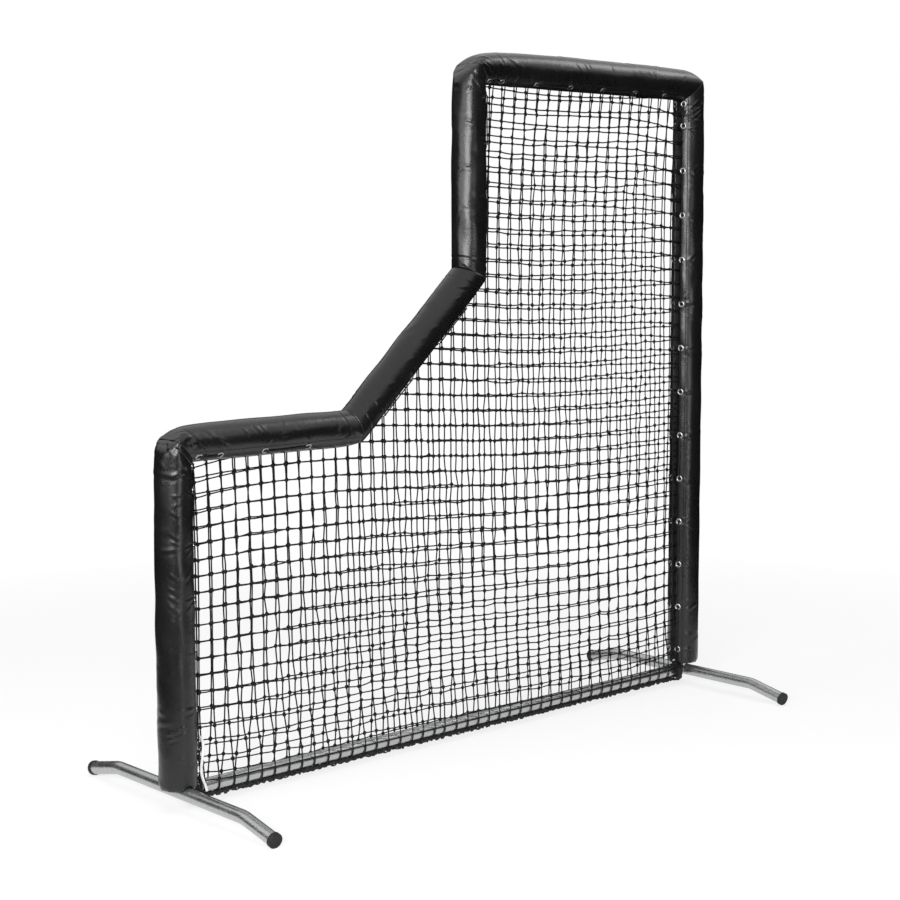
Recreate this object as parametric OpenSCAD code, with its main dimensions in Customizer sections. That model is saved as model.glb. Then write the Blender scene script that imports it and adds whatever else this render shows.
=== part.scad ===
// Padded L-screen: a stand-up pitching screen on two bent feet.
// X runs along the frame, Y front to back (the front is -Y), Z up from the floor.
// The origin is on the floor, midway between the uprights.

/* [Frame] */
// Distance between the axes of the two uprights
span = 2120; // [1800:10:2400]
// Height of the top bar's axis
top_z = 2080; // [1900:10:2200]
// Height of the lower bar's axis
bar_z = 1010; // [900:10:1100]
// Sideways place of the neck, the short upright over the diagonal
neck_x = 32; // [-60:1:120]
// Sideways place where the diagonal leaves the lower bar
diag_x = -440; // [-560:10:-360]
// Height where the diagonal meets the neck
diag_z = 1450; // [1380:10:1520]
// Height of the axis of the bottom rail and of the feet
rail_z = 50; // [46:1:70]

/* [Tubes] */
// Outer diameter of every tube
tube_d = 38.1; // [34:0.1:42]
// Wall of every tube
tube_wall = 1.65; // [1.2:0.05:2.5]
// Radius of the bends, on the tube's axis
bend_r = 57; // [50:1:75]
// Length of each elbow's plug inside a tube
plug_len = 45; // [30:1:80]

/* [Pads] */
// Outer diameter of the padded bars
pad_d = 107.6; // [96:0.2:120]
// Thickness of the vinyl cover
cover_t = 1.2; // [0.8:0.1:2]
// Bore of the foam cores, which leaves room for the net's turn round the tube
foam_bore_d = 48; // [46:1:52]
// Width of the slit on the net side
slit_w = 20; // [18:1:24]
// Distance from the left corner's centre to its blunted outside
cut_left = 16; // [14:1:40]
// The same at the top left corner
cut_top_left = 6; // [6:1:40]
// The same at the top right corner
cut_top_right = 18; // [14:1:40]
// Height of the lower end of the left upright's pad
pad_foot_left = 62; // [56:1:80]
// Height of the lower end of the right upright's pad
pad_foot_right = 78; // [56:1:80]

/* [Eyelets and laces] */
// Outer diameter of an eyelet
eyelet_d = 22; // [18:1:26]
// Hole of an eyelet
eyelet_hole = 11; // [9:0.5:12]
// Distance between eyelets along a bar
eyelet_pitch = 151; // [140:1:156]
// Diameter of the lace
lace_d = 5; // [4:0.5:6]

/* [Net] */
// Distance between the middles of the two net layers
layer_gap = 16; // [14:0.5:18]
// Thickness of a net strand
strand = 3; // [2:0.5:3.5]
// Sideways pitch of the strands that are modelled
net_pitch_x = 160; // [150:5:200]
// Upright pitch of the strands that are modelled
net_pitch_z = 150; // [140:5:200]
// Diameter of the gathered hem under the rail
hem_d = 15; // [12:1:18]

/* [Feet] */
// Distance from the frame to the middle of each foot's bend
foot_bend_y = 307; // [260:1:360]
// Slope of the feet past the bend, in degrees
foot_drop = 12.5; // [9:0.5:18]
// Radius of the bend in the feet
foot_bend_r = 120; // [80:5:200]
// Outer diameter of the rubber caps
cap_d = 42.4; // [41:0.2:46]
// Depth of the flat that each cap stands on
cap_flat = 1.5; // [1:0.1:3]

/* [Snap buttons] */
// Diameter of a button
button_d = 9; // [7:0.5:11]
// How far a button stands out of its tube
button_out = 4; // [3:0.5:4.5]
// Height of the buttons in the uprights
button_z = 125; // [110:1:140]
// Distance from an upright's axis to the buttons in the rail
button_x = 72; // [65:1:85]

/* [Hidden] */
$fn = 48;

STEEL = [0.63, 0.64, 0.65];
VINYL = [0.10, 0.10, 0.11];
FOAM = [0.25, 0.25, 0.27];
TWINE = [0.05, 0.05, 0.05];
NICKEL = [0.80, 0.80, 0.82];
RUBBER = [0.07, 0.07, 0.07];
WHITE = [0.95, 0.95, 0.93];

half = span / 2;
tube_r = tube_d / 2;
bore_r = tube_r - tube_wall;
plug_r = bore_r - 0.3;
plug_bore_r = plug_r - 1.6;
pad_r = pad_d / 2;
cover_in_r = pad_r - cover_t;
foam_r = cover_in_r - 0.3;
foam_bore_r = foam_bore_d / 2;
big = 400;
seam = 0.2;

// The frame's centre line, from the left foot round to the right foot.
CORNERS = [
    [-half, 0], [-half, bar_z], [diag_x, bar_z], [neck_x, diag_z],
    [neck_x, top_z], [half, top_z], [half, 0],
];
CORNER_CUTS = [0, cut_left, 0, 0, cut_top_left, cut_top_right];
LEFT = 0;
LOWER = 1;
DIAGONAL = 2;
NECK = 3;
TOP = 4;
RIGHT = 5;

// Bar i runs from corner i to corner i + 1. In its own frame +Z runs along it,
// +X points to the net, and Y is the object's Y.
function bar_vec(i) = CORNERS[i + 1] - CORNERS[i];
function bar_len(i) = norm(bar_vec(i));
function heading(i) = atan2(bar_vec(i).x, bar_vec(i).y);
function turn(i) = heading(i) - heading(i - 1);
function tangent(i) = bend_r * tan(abs(turn(i)) / 2);
function tube_from(i) = i == LEFT ? rail_z + tube_r + 3 : tangent(i);
function tube_to(i) = bar_len(i) - (i == RIGHT ? rail_z + tube_r + 3 : tangent(i + 1));
function pad_from(i) = i == LEFT ? pad_foot_left : -2 * pad_r;
function pad_to(i) = bar_len(i) + (i == RIGHT ? -pad_foot_right : 2 * pad_r);

module on_bar(i) {
    translate([CORNERS[i].x, 0, CORNERS[i].y])
        rotate([0, heading(i), 0])
            children();
}

module pipe(r_out, r_in, from, to) {
    translate([0, 0, from])
        difference() {
            cylinder(r = r_out, h = to - from);
            translate([0, 0, -1])
                cylinder(r = r_in, h = to - from + 2);
        }
}

// ---- Tubes and elbows ----

screw_back = 22;
screw_r = 1.9;

// Places of the screws along a bar: one near each elbow.
function screw_places(i) = concat(
    i == LEFT ? [] : [tube_from(i) + screw_back],
    i == RIGHT ? [] : [tube_to(i) - screw_back]);

module screw_holes(i) {
    for (z = screw_places(i))
        translate([0, 0, z])
            rotate([-90, 0, 0])
                cylinder(r = screw_r + 0.1, h = tube_r + 5);
}

module bar_tube(i) {
    color(STEEL)
        on_bar(i)
            difference() {
                pipe(tube_r, bore_r, tube_from(i), tube_to(i));
                screw_holes(i);
                if (i == LEFT) button_hole(button_z);
                if (i == RIGHT) button_hole(bar_len(i) - button_z);
            }
}

// A quarter or part bend at corner i, in the frame of the bar before it.
module bend(i) {
    side = sign(turn(i));
    translate([side * bend_r, 0, -tangent(i)])
        rotate([90, 0, 0])
            rotate([0, 0, side > 0 ? 180 - turn(i) : 0])
                rotate_extrude(angle = abs(turn(i)))
                    translate([bend_r, 0])
                        children();
}

module elbow(i) {
    color(STEEL)
        difference() {
            union() {
                on_bar(i - 1)
                    translate([0, 0, bar_len(i - 1)])
                        bend(i)
                            difference() {
                                circle(r = tube_r);
                                circle(r = plug_bore_r);
                            }
                on_bar(i - 1)
                    pipe(plug_r, plug_bore_r, tube_to(i - 1) - plug_len, tube_to(i - 1));
                on_bar(i)
                    pipe(plug_r, plug_bore_r, tube_from(i), tube_from(i) + plug_len);
            }
            on_bar(i - 1) screw_holes(i - 1);
            on_bar(i) screw_holes(i);
        }
}

// Hexagon-headed screws through each tube end into the elbow's plug.
module frame_screws() {
    color(STEEL)
        for (i = [LEFT:RIGHT])
            on_bar(i)
                for (z = screw_places(i))
                    translate([0, 0, z])
                        rotate([-90, 0, 0]) {
                            translate([0, 0, tube_r + 0.2])
                                cylinder(r = 5, h = 2.8, $fn = 6);
                            translate([0, 0, plug_bore_r - 4])
                                cylinder(r = screw_r, h = tube_r - plug_bore_r + 5);
                        }
}

module bottom_rail() {
    rail_end = half - tube_r - 3;
    color(STEEL)
        difference() {
            translate([0, 0, rail_z])
                rotate([0, 90, 0])
                    pipe(tube_r, bore_r, -rail_end, rail_end);
            for (side = [0, 1])
                mirror([side, 0, 0])
                    on_rail_button() button_hole(0);
        }
}

// ---- Feet ----

foot_tangent = foot_bend_r * tan(foot_drop / 2);
cap_r = cap_d / 2;
cap_len = 13;
cap_wall = 3.3;
end_z = cap_r * cos(foot_drop) - cap_flat;
end_y = foot_bend_y + (rail_z - end_z) / tan(foot_drop);
slope_len = (end_y - foot_bend_y) / cos(foot_drop);
stub_top = 185;
stub_side = 95;

// The outer end of a foot: +Z runs out along the tube and ends at the cap's face.
module at_foot_end() {
    translate([0, end_y, end_z])
        rotate([-90 - foot_drop, 0, 0])
            children();
}

module foot_wing() {
    translate([0, foot_bend_y - foot_tangent, rail_z - foot_bend_r])
        rotate([90, 0, 90])
            rotate([0, 0, 90 - foot_drop])
                rotate_extrude(angle = foot_drop)
                    translate([foot_bend_r, 0])
                        difference() {
                            circle(r = tube_r);
                            circle(r = bore_r);
                        }
    at_foot_end()
        pipe(tube_r, bore_r, foot_tangent - slope_len, -cap_wall - 0.2);
}

// One bent foot with a collar and a plug for the upright and for the rail.
module foot() {
    color(STEEL) {
        middle = foot_bend_y - foot_tangent;
        difference() {
            union() {
                translate([0, 0, rail_z])
                    rotate([90, 0, 0])
                        cylinder(r = tube_r, h = 2 * middle, center = true);
                translate([0, 0, rail_z]) {
                    cylinder(r = tube_r + 2, h = tube_r + 2.5);
                    cylinder(r = plug_r, h = stub_top - rail_z);
                    rotate([0, 90, 0]) {
                        cylinder(r = tube_r + 2, h = tube_r + 2.5);
                        cylinder(r = plug_r, h = stub_side);
                    }
                }
            }
            translate([0, 0, rail_z]) {
                rotate([90, 0, 0])
                    cylinder(r = bore_r, h = 2 * middle + 2, center = true);
                cylinder(r = plug_bore_r, h = stub_top);
                rotate([0, 90, 0])
                    cylinder(r = plug_bore_r, h = stub_side + 1);
            }
            button_hole(button_z);
            translate([half, 0, 0])
                on_rail_button() button_hole(0);
        }
        foot_wing();
        mirror([0, 1, 0]) foot_wing();
    }
}

module on_left() {
    translate([-half, 0, 0]) children();
}

module on_right() {
    translate([half, 0, 0]) mirror([1, 0, 0]) children();
}

// Rubber cap with a socket for the tube, a dished face and a flat to stand on.
module foot_cap() {
    difference() {
        at_foot_end()
            difference() {
                translate([0, 0, -cap_len]) cylinder(r = cap_r, h = cap_len);
                translate([0, 0, -cap_len - 1])
                    cylinder(r = tube_r + 0.15, h = cap_len + 1 - cap_wall);
                translate([0, 0, -0.8]) cylinder(r = 15, h = 2);
            }
        translate([-cap_r * 2, end_y - 2 * cap_len, -10])
            cube([cap_r * 4, 3 * cap_len, 10]);
    }
}

module foot_caps() {
    color(RUBBER) {
        foot_cap();
        mirror([0, 1, 0]) foot_cap();
    }
}

// ---- Snap buttons: +X is the way the button stands out, +Z runs up the tube ----

button_r = button_d / 2;
flange_x = 11.4;
flange_t = 1.6;

module button_hole(z) {
    translate([0, 0, z])
        rotate([0, 90, 0])
            cylinder(r = button_r + 0.3, h = tube_r + 5);
}

module button() {
    color(NICKEL)
        rotate([0, 90, 0]) {
            translate([0, 0, flange_x]) cylinder(r = 6.5, h = flange_t);
            translate([0, 0, flange_x])
                cylinder(r = button_r, h = tube_r + button_out - 1.5 - flange_x);
            translate([0, 0, tube_r + button_out - 1.5])
                cylinder(r1 = button_r, r2 = button_r - 1.5, h = 1.5);
        }
}

leaf_t = 1;
leaf_w = 8;

// Leaf spring bent to a V: one arm behind the button, the other on the far wall.
module button_spring() {
    far_wall = -sqrt(plug_bore_r ^ 2 - (leaf_w / 2) ^ 2) + 0.2;
    route = [
        [flange_x - 0.6, 6], [flange_x - 0.6, -6], [2, -40], [-2, -40], [far_wall + 0.5, 4],
    ];
    color(STEEL)
        rotate([90, 0, 0])
            translate([0, 0, -leaf_w / 2])
                linear_extrude(leaf_w)
                    polygon(strip(route, leaf_t));
}

module on_rail_button() {
    translate([-half + button_x, 0, rail_z])
        rotate([180, -90, 0])
            children();
}

module on_upright_button() {
    translate([-half, 0, button_z]) children();
}

// ---- Padded bars ----

// Cuts off what lies past a corner's mitre plane, on the side that dir names.
module mitre_cut(z, tilt, dir) {
    translate([0, 0, z])
        rotate([0, tilt, 0])
            translate([-big / 2, -big / 2, dir > 0 ? -seam : seam - big])
                cube(big);
}

// Cuts the outside of a square corner blunt.
module blunt_cut(z, tilt, cut) {
    translate([0, 0, z])
        rotate([0, tilt, 0])
            translate([-big - cut, -big / 2, -big / 2])
                cube(big);
}

// The round body of a padded bar, blunted at its square corners.
module pad_round(i, r, inset, from, to) {
    difference() {
        translate([0, 0, from]) cylinder(r = r, h = to - from);
        if (i > LEFT && turn(i) > 60) blunt_cut(0, -turn(i) / 2, CORNER_CUTS[i] - inset);
        if (i < RIGHT && turn(i + 1) > 60)
            blunt_cut(bar_len(i), turn(i + 1) / 2, CORNER_CUTS[i + 1] - inset);
    }
}

module mitre_cuts(i) {
    if (i > LEFT) mitre_cut(0, -turn(i) / 2, -1);
    if (i < RIGHT) mitre_cut(bar_len(i), turn(i + 1) / 2, 1);
}

module slit(i) {
    translate([0, -slit_w / 2, -3 * pad_r])
        cube([2 * pad_r, slit_w, bar_len(i) + 6 * pad_r]);
}

// Room for the foot and the rail under the upright pads.
module foot_clearance(i) {
    if (i == LEFT || i == RIGHT)
        translate([0, 0, i == LEFT ? rail_z : bar_len(i) - rail_z]) {
            rotate([90, 0, 0]) cylinder(r = tube_r + 1.5, h = 4 * pad_r, center = true);
            rotate([0, 90, 0]) cylinder(r = lashing_r + lashing_d / 2 + 1.2, h = 2 * pad_r);
        }
}

// The hole for the tube: straight, then round each elbow a little wider.
module foam_bore(i) {
    from = i == LEFT ? -1 : tube_from(i) - 2;
    to = i == RIGHT ? bar_len(i) + 1 : tube_to(i) + 2;
    translate([0, 0, from]) cylinder(r = foam_bore_r, h = to - from);
    if (i > LEFT)
        rotate([0, -turn(i), 0]) bend(i) circle(r = foam_bore_r + 0.5);
    if (i < RIGHT)
        translate([0, 0, bar_len(i)]) bend(i + 1) circle(r = foam_bore_r + 0.5);
}

module foam(i) {
    color(FOAM)
        on_bar(i)
            difference() {
                pad_round(i, foam_r, cover_t + 0.3, pad_from(i), pad_to(i));
                mitre_cuts(i);
                foam_bore(i);
                slit(i);
                foot_clearance(i);
                for (z = EYELETS[i]) lace_pocket(i, z);
            }
}

module cover(i) {
    color(VINYL)
        on_bar(i)
            difference() {
                pad_round(i, pad_r, 0, pad_from(i), pad_to(i));
                mitre_cuts(i);
                pad_round(i, cover_in_r, cover_t, -3 * pad_r, bar_len(i) + 3 * pad_r);
                slit(i);
                foot_clearance(i);
                for (z = EYELETS[i], side = [-1, 1])
                    at_eyelet(i, z, side) cylinder(r = barrel_r + 0.2, h = pad_r + 5);
            }
}

// ---- Eyelets: two rows along each bar, one on each edge of the cover ----

// Angle from the net side to each row of eyelets, for each bar.
EYELET_ANGLE = [35, 47, 35, 35, 36, 20];
// Places of the eyelets along each bar.
EYELETS = [
    concat(eyelet_row(129, 6), [949]),
    concat([61], eyelet_row(131, 3)),
    eyelet_row(95, 4),
    eyelet_row(90, 4),
    concat([59], eyelet_row(111, 6)),
    concat([66], eyelet_row(139, 13)),
];
function eyelet_row(from, count) = [for (k = [0:count - 1]) from + k * eyelet_pitch];

barrel_r = eyelet_hole / 2 + 0.9;
washer_r = 9;
washer_from = cover_in_r - 2;
chord_r = 47;

// +Z runs out through the eyelet at height z, in the row on one side of the net.
module at_eyelet(i, z, side) {
    translate([0, 0, z])
        rotate([0, 0, side * EYELET_ANGLE[i]])
            rotate([0, 90, 0])
                children();
}

module eyelet() {
    difference() {
        union() {
            translate([0, 0, washer_from])
                cylinder(r = barrel_r, h = pad_r + 1.6 - washer_from);
            translate([0, 0, pad_r + 0.1]) cylinder(r = eyelet_d / 2, h = 0.9);
            translate([0, 0, pad_r + 1])
                cylinder(r1 = eyelet_d / 2, r2 = eyelet_d / 2 - 1.2, h = 0.6);
            translate([0, 0, washer_from]) cylinder(r = washer_r, h = 1);
        }
        cylinder(r = eyelet_hole / 2, h = 2 * pad_r);
    }
}

module eyelets(i) {
    color(NICKEL)
        on_bar(i)
            for (z = EYELETS[i], side = [-1, 1])
                at_eyelet(i, z, side) eyelet();
}

// Pocket in the foam for the eyelets' washers and for the lace that crosses over.
module lace_pocket(i, z) {
    a = EYELET_ANGLE[i];
    deep = min(chord_r * cos(a) - 3.5, washer_from * cos(a) - washer_r * sin(a) - 1.5);
    wide = cover_in_r * sin(a) + (washer_r + 1) * cos(a);
    translate([deep, -wide, z - washer_r - 1])
        cube([pad_r, 2 * wide, 2 * washer_r + 2]);
}

// ---- Cords ----

function unit(v) = v / norm(v);
function squared(v, axis) = unit(v - (v * axis) * axis);

// Outline of a strip of the given width along a flat route.
function left_of(p, q) = let (d = unit(q - p)) [-d.y, d.x];
function strip_offset(pts, i) =
    let (
        last = len(pts) - 1,
        before = left_of(pts[max(i, 1) - 1], pts[max(i, 1)]),
        after = left_of(pts[min(i, last - 1)], pts[min(i, last - 1) + 1]),
        mid = unit(before + after)
    ) mid / (mid * before);
function strip(pts, w) = concat(
    [for (i = [0:len(pts) - 1]) pts[i] + strip_offset(pts, i) * w / 2],
    [for (i = [len(pts) - 1:-1:0]) pts[i] - strip_offset(pts, i) * w / 2]);

// A round cord swept along a route.
module cord(route, r, sides = 8, seed = [0.31, 0.17, 0.93]) {
    last = len(route) - 1;
    ahead = [for (i = [0:last - 1]) unit(route[i + 1] - route[i])];
    along = [for (i = [0:last])
        unit(ahead[min(i, last - 1)] + ahead[max(i, 1) - 1])];
    across = [for (i = 0, v = squared(seed, along[0]); i <= last;
        i = i + 1, v = squared(v, along[min(i, last)])) v];
    points = [for (i = [0:last], k = [0:sides - 1])
        route[i] + r * (cos(k * 360 / sides) * across[i]
            + sin(k * 360 / sides) * cross(along[i], across[i]))];
    walls = [for (i = [0:last - 1], k = [0:sides - 1])
        let (a = i * sides + k, b = i * sides + (k + 1) % sides)
            each [[a, b + sides, b], [a, a + sides, b + sides]]];
    caps = [for (k = [1:sides - 2])
        each [[0, k, k + 1], [last * sides, last * sides + k + 1, last * sides + k]]];
    polyhedron(points, concat(walls, caps));
}

// A running stitch through both rows of eyelets: along the front from each even
// eyelet to the next, along the back from each odd one, and across the net at each.
over_r = pad_r + lace_d / 2 + 1.7;
function lace_at(i, side, r, z) =
    [r * cos(EYELET_ANGLE[i]), side * r * sin(EYELET_ANGLE[i]), z];
function lace_route(i) = [for (k = [0:len(EYELETS[i]) - 1])
    let (z = EYELETS[i][k], s = k % 2 == 0 ? 1 : -1)
        each [
            lace_at(i, s, over_r, z - 7), lace_at(i, s, over_r - 0.6, z - 2),
            lace_at(i, s, over_r - 6, z), lace_at(i, s, chord_r, z),
            lace_at(i, -s, chord_r, z), lace_at(i, -s, over_r - 6, z),
            lace_at(i, -s, over_r - 0.6, z + 2), lace_at(i, -s, over_r, z + 7),
        ]];

module lace(i) {
    color(TWINE) on_bar(i) cord(lace_route(i), lace_d / 2);
}

// ---- Net: two layers, drawn at a coarse pitch ----

layer_y = layer_gap / 2;
// The net ends on the tubes, where its inner face meets their round.
reach = sqrt(tube_r ^ 2 - (layer_y - strand / 2) ^ 2) + 0.05;
cut_z = bar_z - reach - strand / 2 - 0.5;
split_x = neck_x + reach;
hem_z = rail_z - tube_r - 0.4 - hem_d / 2;
wrap_r = tube_r + strand / 2 + 1.6;
skirt_z = cut_z - 5 * net_pitch_z;

first_x = 70;
strands_x = [for (x = [first_x - 6 * net_pitch_x : net_pitch_x : half - reach - 90]) x];
rows_up = [for (z = [cut_z + net_pitch_z : net_pitch_z : top_z - pad_r - 20]) z];
rows_down = [for (k = [0:5]) cut_z - k * net_pitch_z];

// From the lower bar down, round the rail and in to the hem, seen along X.
skirt_route = [
    [layer_y, skirt_z], [wrap_r, rail_z],
    [wrap_r * cos(30), rail_z - wrap_r * sin(30)],
    [wrap_r * cos(60), rail_z - wrap_r * sin(60)],
    [hem_d / 2 + 0.9, hem_z + 3.4],
];

module strand_x(z, from, to) {
    translate([from, layer_y - strand / 2, z - strand / 2])
        cube([to - from, strand, strand]);
}

module strand_z(x, from, to) {
    translate([x - strand / 2, layer_y - strand / 2, from])
        cube([strand, strand, to - from]);
}

module layer(side) {
    color(TWINE) mirror([0, side < 0 ? 1 : 0, 0]) children();
}

module net_lower(side) {
    layer(side) {
        for (x = strands_x)
            translate([x - strand / 2, 0, 0])
                rotate([90, 0, 90])
                    linear_extrude(strand)
                        polygon(strip(concat([[layer_y, x < diag_x ? bar_z - reach
                            : cut_z + strand / 2]], skirt_route), strand));
        for (z = rows_down)
            strand_x(z, z == cut_z ? diag_x + 10 : reach - half, half - reach);
    }
}

module net_upper(side) {
    layer(side) {
        for (x = strands_x)
            if (x > split_x + 100) strand_z(x, cut_z + strand / 2, top_z - reach);
        strand_z(first_x, cut_z + strand / 2, rows_up[1]);
        for (z = rows_up) strand_x(z, split_x, half - reach);
    }
}

// Places on the diagonal's net side.
diag_slope = (diag_z - bar_z) / (neck_x - diag_x);
diag_drop = reach / sin(heading(DIAGONAL));
function diag_z_at(x) = bar_z - diag_drop + (x - diag_x) * diag_slope;
function diag_x_at(z) = diag_x + (z - bar_z + diag_drop) / diag_slope;

module net_corner(side) {
    layer(side) {
        for (x = strands_x)
            if (x > diag_x + 60 && x < split_x)
                strand_z(x, cut_z + strand / 2, diag_z_at(x - strand / 2));
        for (z = rows_up)
            if (z < diag_z - 60)
                strand_x(z, diag_x_at(z + strand / 2), split_x);
    }
}

// Gathered edge of the net, drawn tight under the bottom rail.
hem_end = half - 58;

module hem_rope() {
    color(TWINE)
        translate([-hem_end, 0, hem_z])
            rotate([0, 90, 0])
                cylinder(r = hem_d / 2, h = 2 * hem_end);
}

// Cord wound round the rail at each end of the hem.
lashing_d = 5.6;
lashing_r = tube_r + lashing_d / 2 + 0.8;
lashing_turns = 4;
lashing_step = 6.4;
lashing_rings = 12;
LASHING_ROUTE = [for (k = [0:lashing_rings * lashing_turns])
    let (a = 360 * k / lashing_rings)
        [lashing_step * a / 360, lashing_r * cos(a), rail_z + lashing_r * sin(a)]];

module lashing() {
    color(TWINE)
        translate([-half + 28, 0, 0])
            cord(LASHING_ROUTE, lashing_d / 2, 6);
}

// Least gap between a cord's stretches that are at least skip rings apart.
function least_gap(route, d, skip) = min([for (i = [0:len(route) - 1])
    for (k = [i + skip:1:len(route) - 1]) norm(route[i] - route[k])]) - d;
echo(lashing_gap = least_gap(LASHING_ROUTE, lashing_d, lashing_rings / 2));

// Loose end of white cord: out of the slit of the left upright's pad and down to
// the foot, seen from the upright's axis.
WHITE_ROUTE = [
    [30, -2, 200], [40, -2, 200], [50, -3, 200], [57, -7, 199], [62, -14, 196],
    [63, -23, 190], [62, -31, 181], [59, -37, 169], [55, -40, 155], [53, -40, 140],
    [51, -39, 124], [50, -38, 108], [52, -38, 92], [57, -39, 75], [63, -39, 60],
    [68, -38, 46],
];

module white_tie() {
    color(WHITE) on_left() cord(WHITE_ROUTE, 2.6);
}

on_left() foot();  // foot_left
on_right() foot();  // foot_right
on_left() foot_caps();  // foot_caps_left
on_right() foot_caps();  // foot_caps_right
bottom_rail();
bar_tube(LEFT);  // upright_tube_left
bar_tube(LOWER);  // lower_bar_tube
bar_tube(DIAGONAL);  // diagonal_tube
bar_tube(NECK);  // neck_tube
bar_tube(TOP);  // top_bar_tube
bar_tube(RIGHT);  // upright_tube_right
elbow(LOWER);  // elbow_left
elbow(DIAGONAL);  // elbow_lower
elbow(NECK);  // elbow_neck
elbow(TOP);  // elbow_top_left
elbow(RIGHT);  // elbow_top_right
frame_screws();
foam(LEFT);  // foam_upright_left
foam(LOWER);  // foam_lower_bar
foam(DIAGONAL);  // foam_diagonal
foam(NECK);  // foam_neck
foam(TOP);  // foam_top_bar
foam(RIGHT);  // foam_upright_right
cover(LEFT);  // cover_upright_left
cover(LOWER);  // cover_lower_bar
cover(DIAGONAL);  // cover_diagonal
cover(NECK);  // cover_neck
cover(TOP);  // cover_top_bar
cover(RIGHT);  // cover_upright_right
eyelets(LEFT);  // eyelets_upright_left
eyelets(LOWER);  // eyelets_lower_bar
eyelets(DIAGONAL);  // eyelets_diagonal
eyelets(NECK);  // eyelets_neck
eyelets(TOP);  // eyelets_top_bar
eyelets(RIGHT);  // eyelets_upright_right
lace(LEFT);  // lace_upright_left
lace(LOWER);  // lace_lower_bar
lace(DIAGONAL);  // lace_diagonal
lace(NECK);  // lace_neck
lace(TOP);  // lace_top_bar
lace(RIGHT);  // lace_upright_right
net_lower(-1);  // net_front_lower
net_upper(-1);  // net_front_upper
net_corner(-1);  // net_front_corner
net_lower(1);  // net_back_lower
net_upper(1);  // net_back_upper
net_corner(1);  // net_back_corner
hem_rope();
lashing();  // lashing_left
mirror([1, 0, 0]) lashing();  // lashing_right
white_tie();
on_upright_button() button();  // button_upright_left
mirror([1, 0, 0]) on_upright_button() button();  // button_upright_right
on_rail_button() button();  // button_rail_left
mirror([1, 0, 0]) on_rail_button() button();  // button_rail_right
on_upright_button() button_spring();  // button_spring_upright_left
mirror([1, 0, 0]) on_upright_button() button_spring();  // button_spring_upright_right
on_rail_button() button_spring();  // button_spring_rail_left
mirror([1, 0, 0]) on_rail_button() button_spring();  // button_spring_rail_right
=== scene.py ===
import math
import random

import bmesh
import bpy
import numpy as np
from bpy.props import (
    BoolProperty, FloatProperty, FloatVectorProperty, IntProperty, PointerProperty,
)
from mathutils import Matrix, Vector


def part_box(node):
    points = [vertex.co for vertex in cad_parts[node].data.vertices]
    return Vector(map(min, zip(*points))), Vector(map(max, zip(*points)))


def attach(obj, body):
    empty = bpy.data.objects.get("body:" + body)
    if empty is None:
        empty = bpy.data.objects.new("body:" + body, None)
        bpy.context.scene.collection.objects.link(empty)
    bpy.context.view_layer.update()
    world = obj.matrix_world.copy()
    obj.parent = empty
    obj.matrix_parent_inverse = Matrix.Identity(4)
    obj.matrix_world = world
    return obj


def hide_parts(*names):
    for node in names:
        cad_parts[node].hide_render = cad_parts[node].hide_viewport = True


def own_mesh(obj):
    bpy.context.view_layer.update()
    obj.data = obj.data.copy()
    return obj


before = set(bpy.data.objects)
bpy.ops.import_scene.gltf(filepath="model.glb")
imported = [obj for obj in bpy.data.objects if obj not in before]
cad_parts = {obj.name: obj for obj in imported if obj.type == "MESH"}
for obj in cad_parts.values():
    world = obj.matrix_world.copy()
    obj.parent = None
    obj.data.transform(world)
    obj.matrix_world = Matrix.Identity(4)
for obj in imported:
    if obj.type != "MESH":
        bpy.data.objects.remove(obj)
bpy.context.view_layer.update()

bl_info = {
    "name": "Padded L-Screen",
    "version": (1, 0, 0),
    "blender": (4, 5, 0),
    "location": "View3D > Sidebar > L-Screen",
    "description": "Pads, netting, cords and finishes of a padded L-shaped pitching screen",
    "category": "Add Mesh",
}

# ---- Measures of the frame, in metres, in the frame's own axes ----

HALF = 1.060        # half the distance between the axes of the uprights
LOW_X, LOW_Z = -0.440, 1.010    # where the lower bar turns into the diagonal
HIGH_X, HIGH_Z = 0.032, 1.450   # where the diagonal turns into the neck
TOP_Z = 2.080
CORNERS = [
    (-HALF, 0.0), (-HALF, LOW_Z), (LOW_X, LOW_Z), (HIGH_X, HIGH_Z),
    (HIGH_X, TOP_Z), (HALF, TOP_Z), (HALF, 0.0),
]
SLOPE = (HIGH_Z - LOW_Z) / (HIGH_X - LOW_X)     # of the diagonal
RAIL_Z = 0.050
TUBE_R = 0.01905
BEND_R = 0.057      # of the elbows' axes

BAR_NAMES = ("upright_left", "lower_bar", "diagonal", "neck", "top_bar", "upright_right")
PAD_R = 0.0538      # of the pads in the solids
PAD_FOOT = (0.062, 0.078)       # heights of the lower ends of the left and right pads
SEAM = 0.0002       # half the gap between two pads at a mitre
BORE_R = 0.0242
SLIT = 0.0101       # half the width of the slit that lets the net in
# How far outward from each corner's centre the pads are cut off. The first has none.
CORNER_CUTS = (0, 0.016, 0.048, 0.048, 0.006, 0.018)
CUT_ROUNDING = 0.007
FOAM_GIVE = -0.0090     # moves those cuts inward for the foam
FOAM_SHORT = 0.006      # how much sooner than its cover the foam ends at a foot
# Degrees from the net side to the two rows of eyelets, and their places along each bar.
ROW_ANGLE = (35, 47, 35, 35, 36, 20)
PITCH = 0.151
LACE_HEIGHT = 0.0040
STATIONS = (
    [0.129 + PITCH * k for k in range(6)] + [0.949],
    [0.061] + [0.131 + PITCH * k for k in range(3)],
    [0.095 + PITCH * k for k in range(4)],
    [0.090 + PITCH * k for k in range(4)],
    [0.059] + [0.111 + PITCH * k for k in range(6)],
    [0.066] + [0.139 + PITCH * k for k in range(13)],
)

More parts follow.
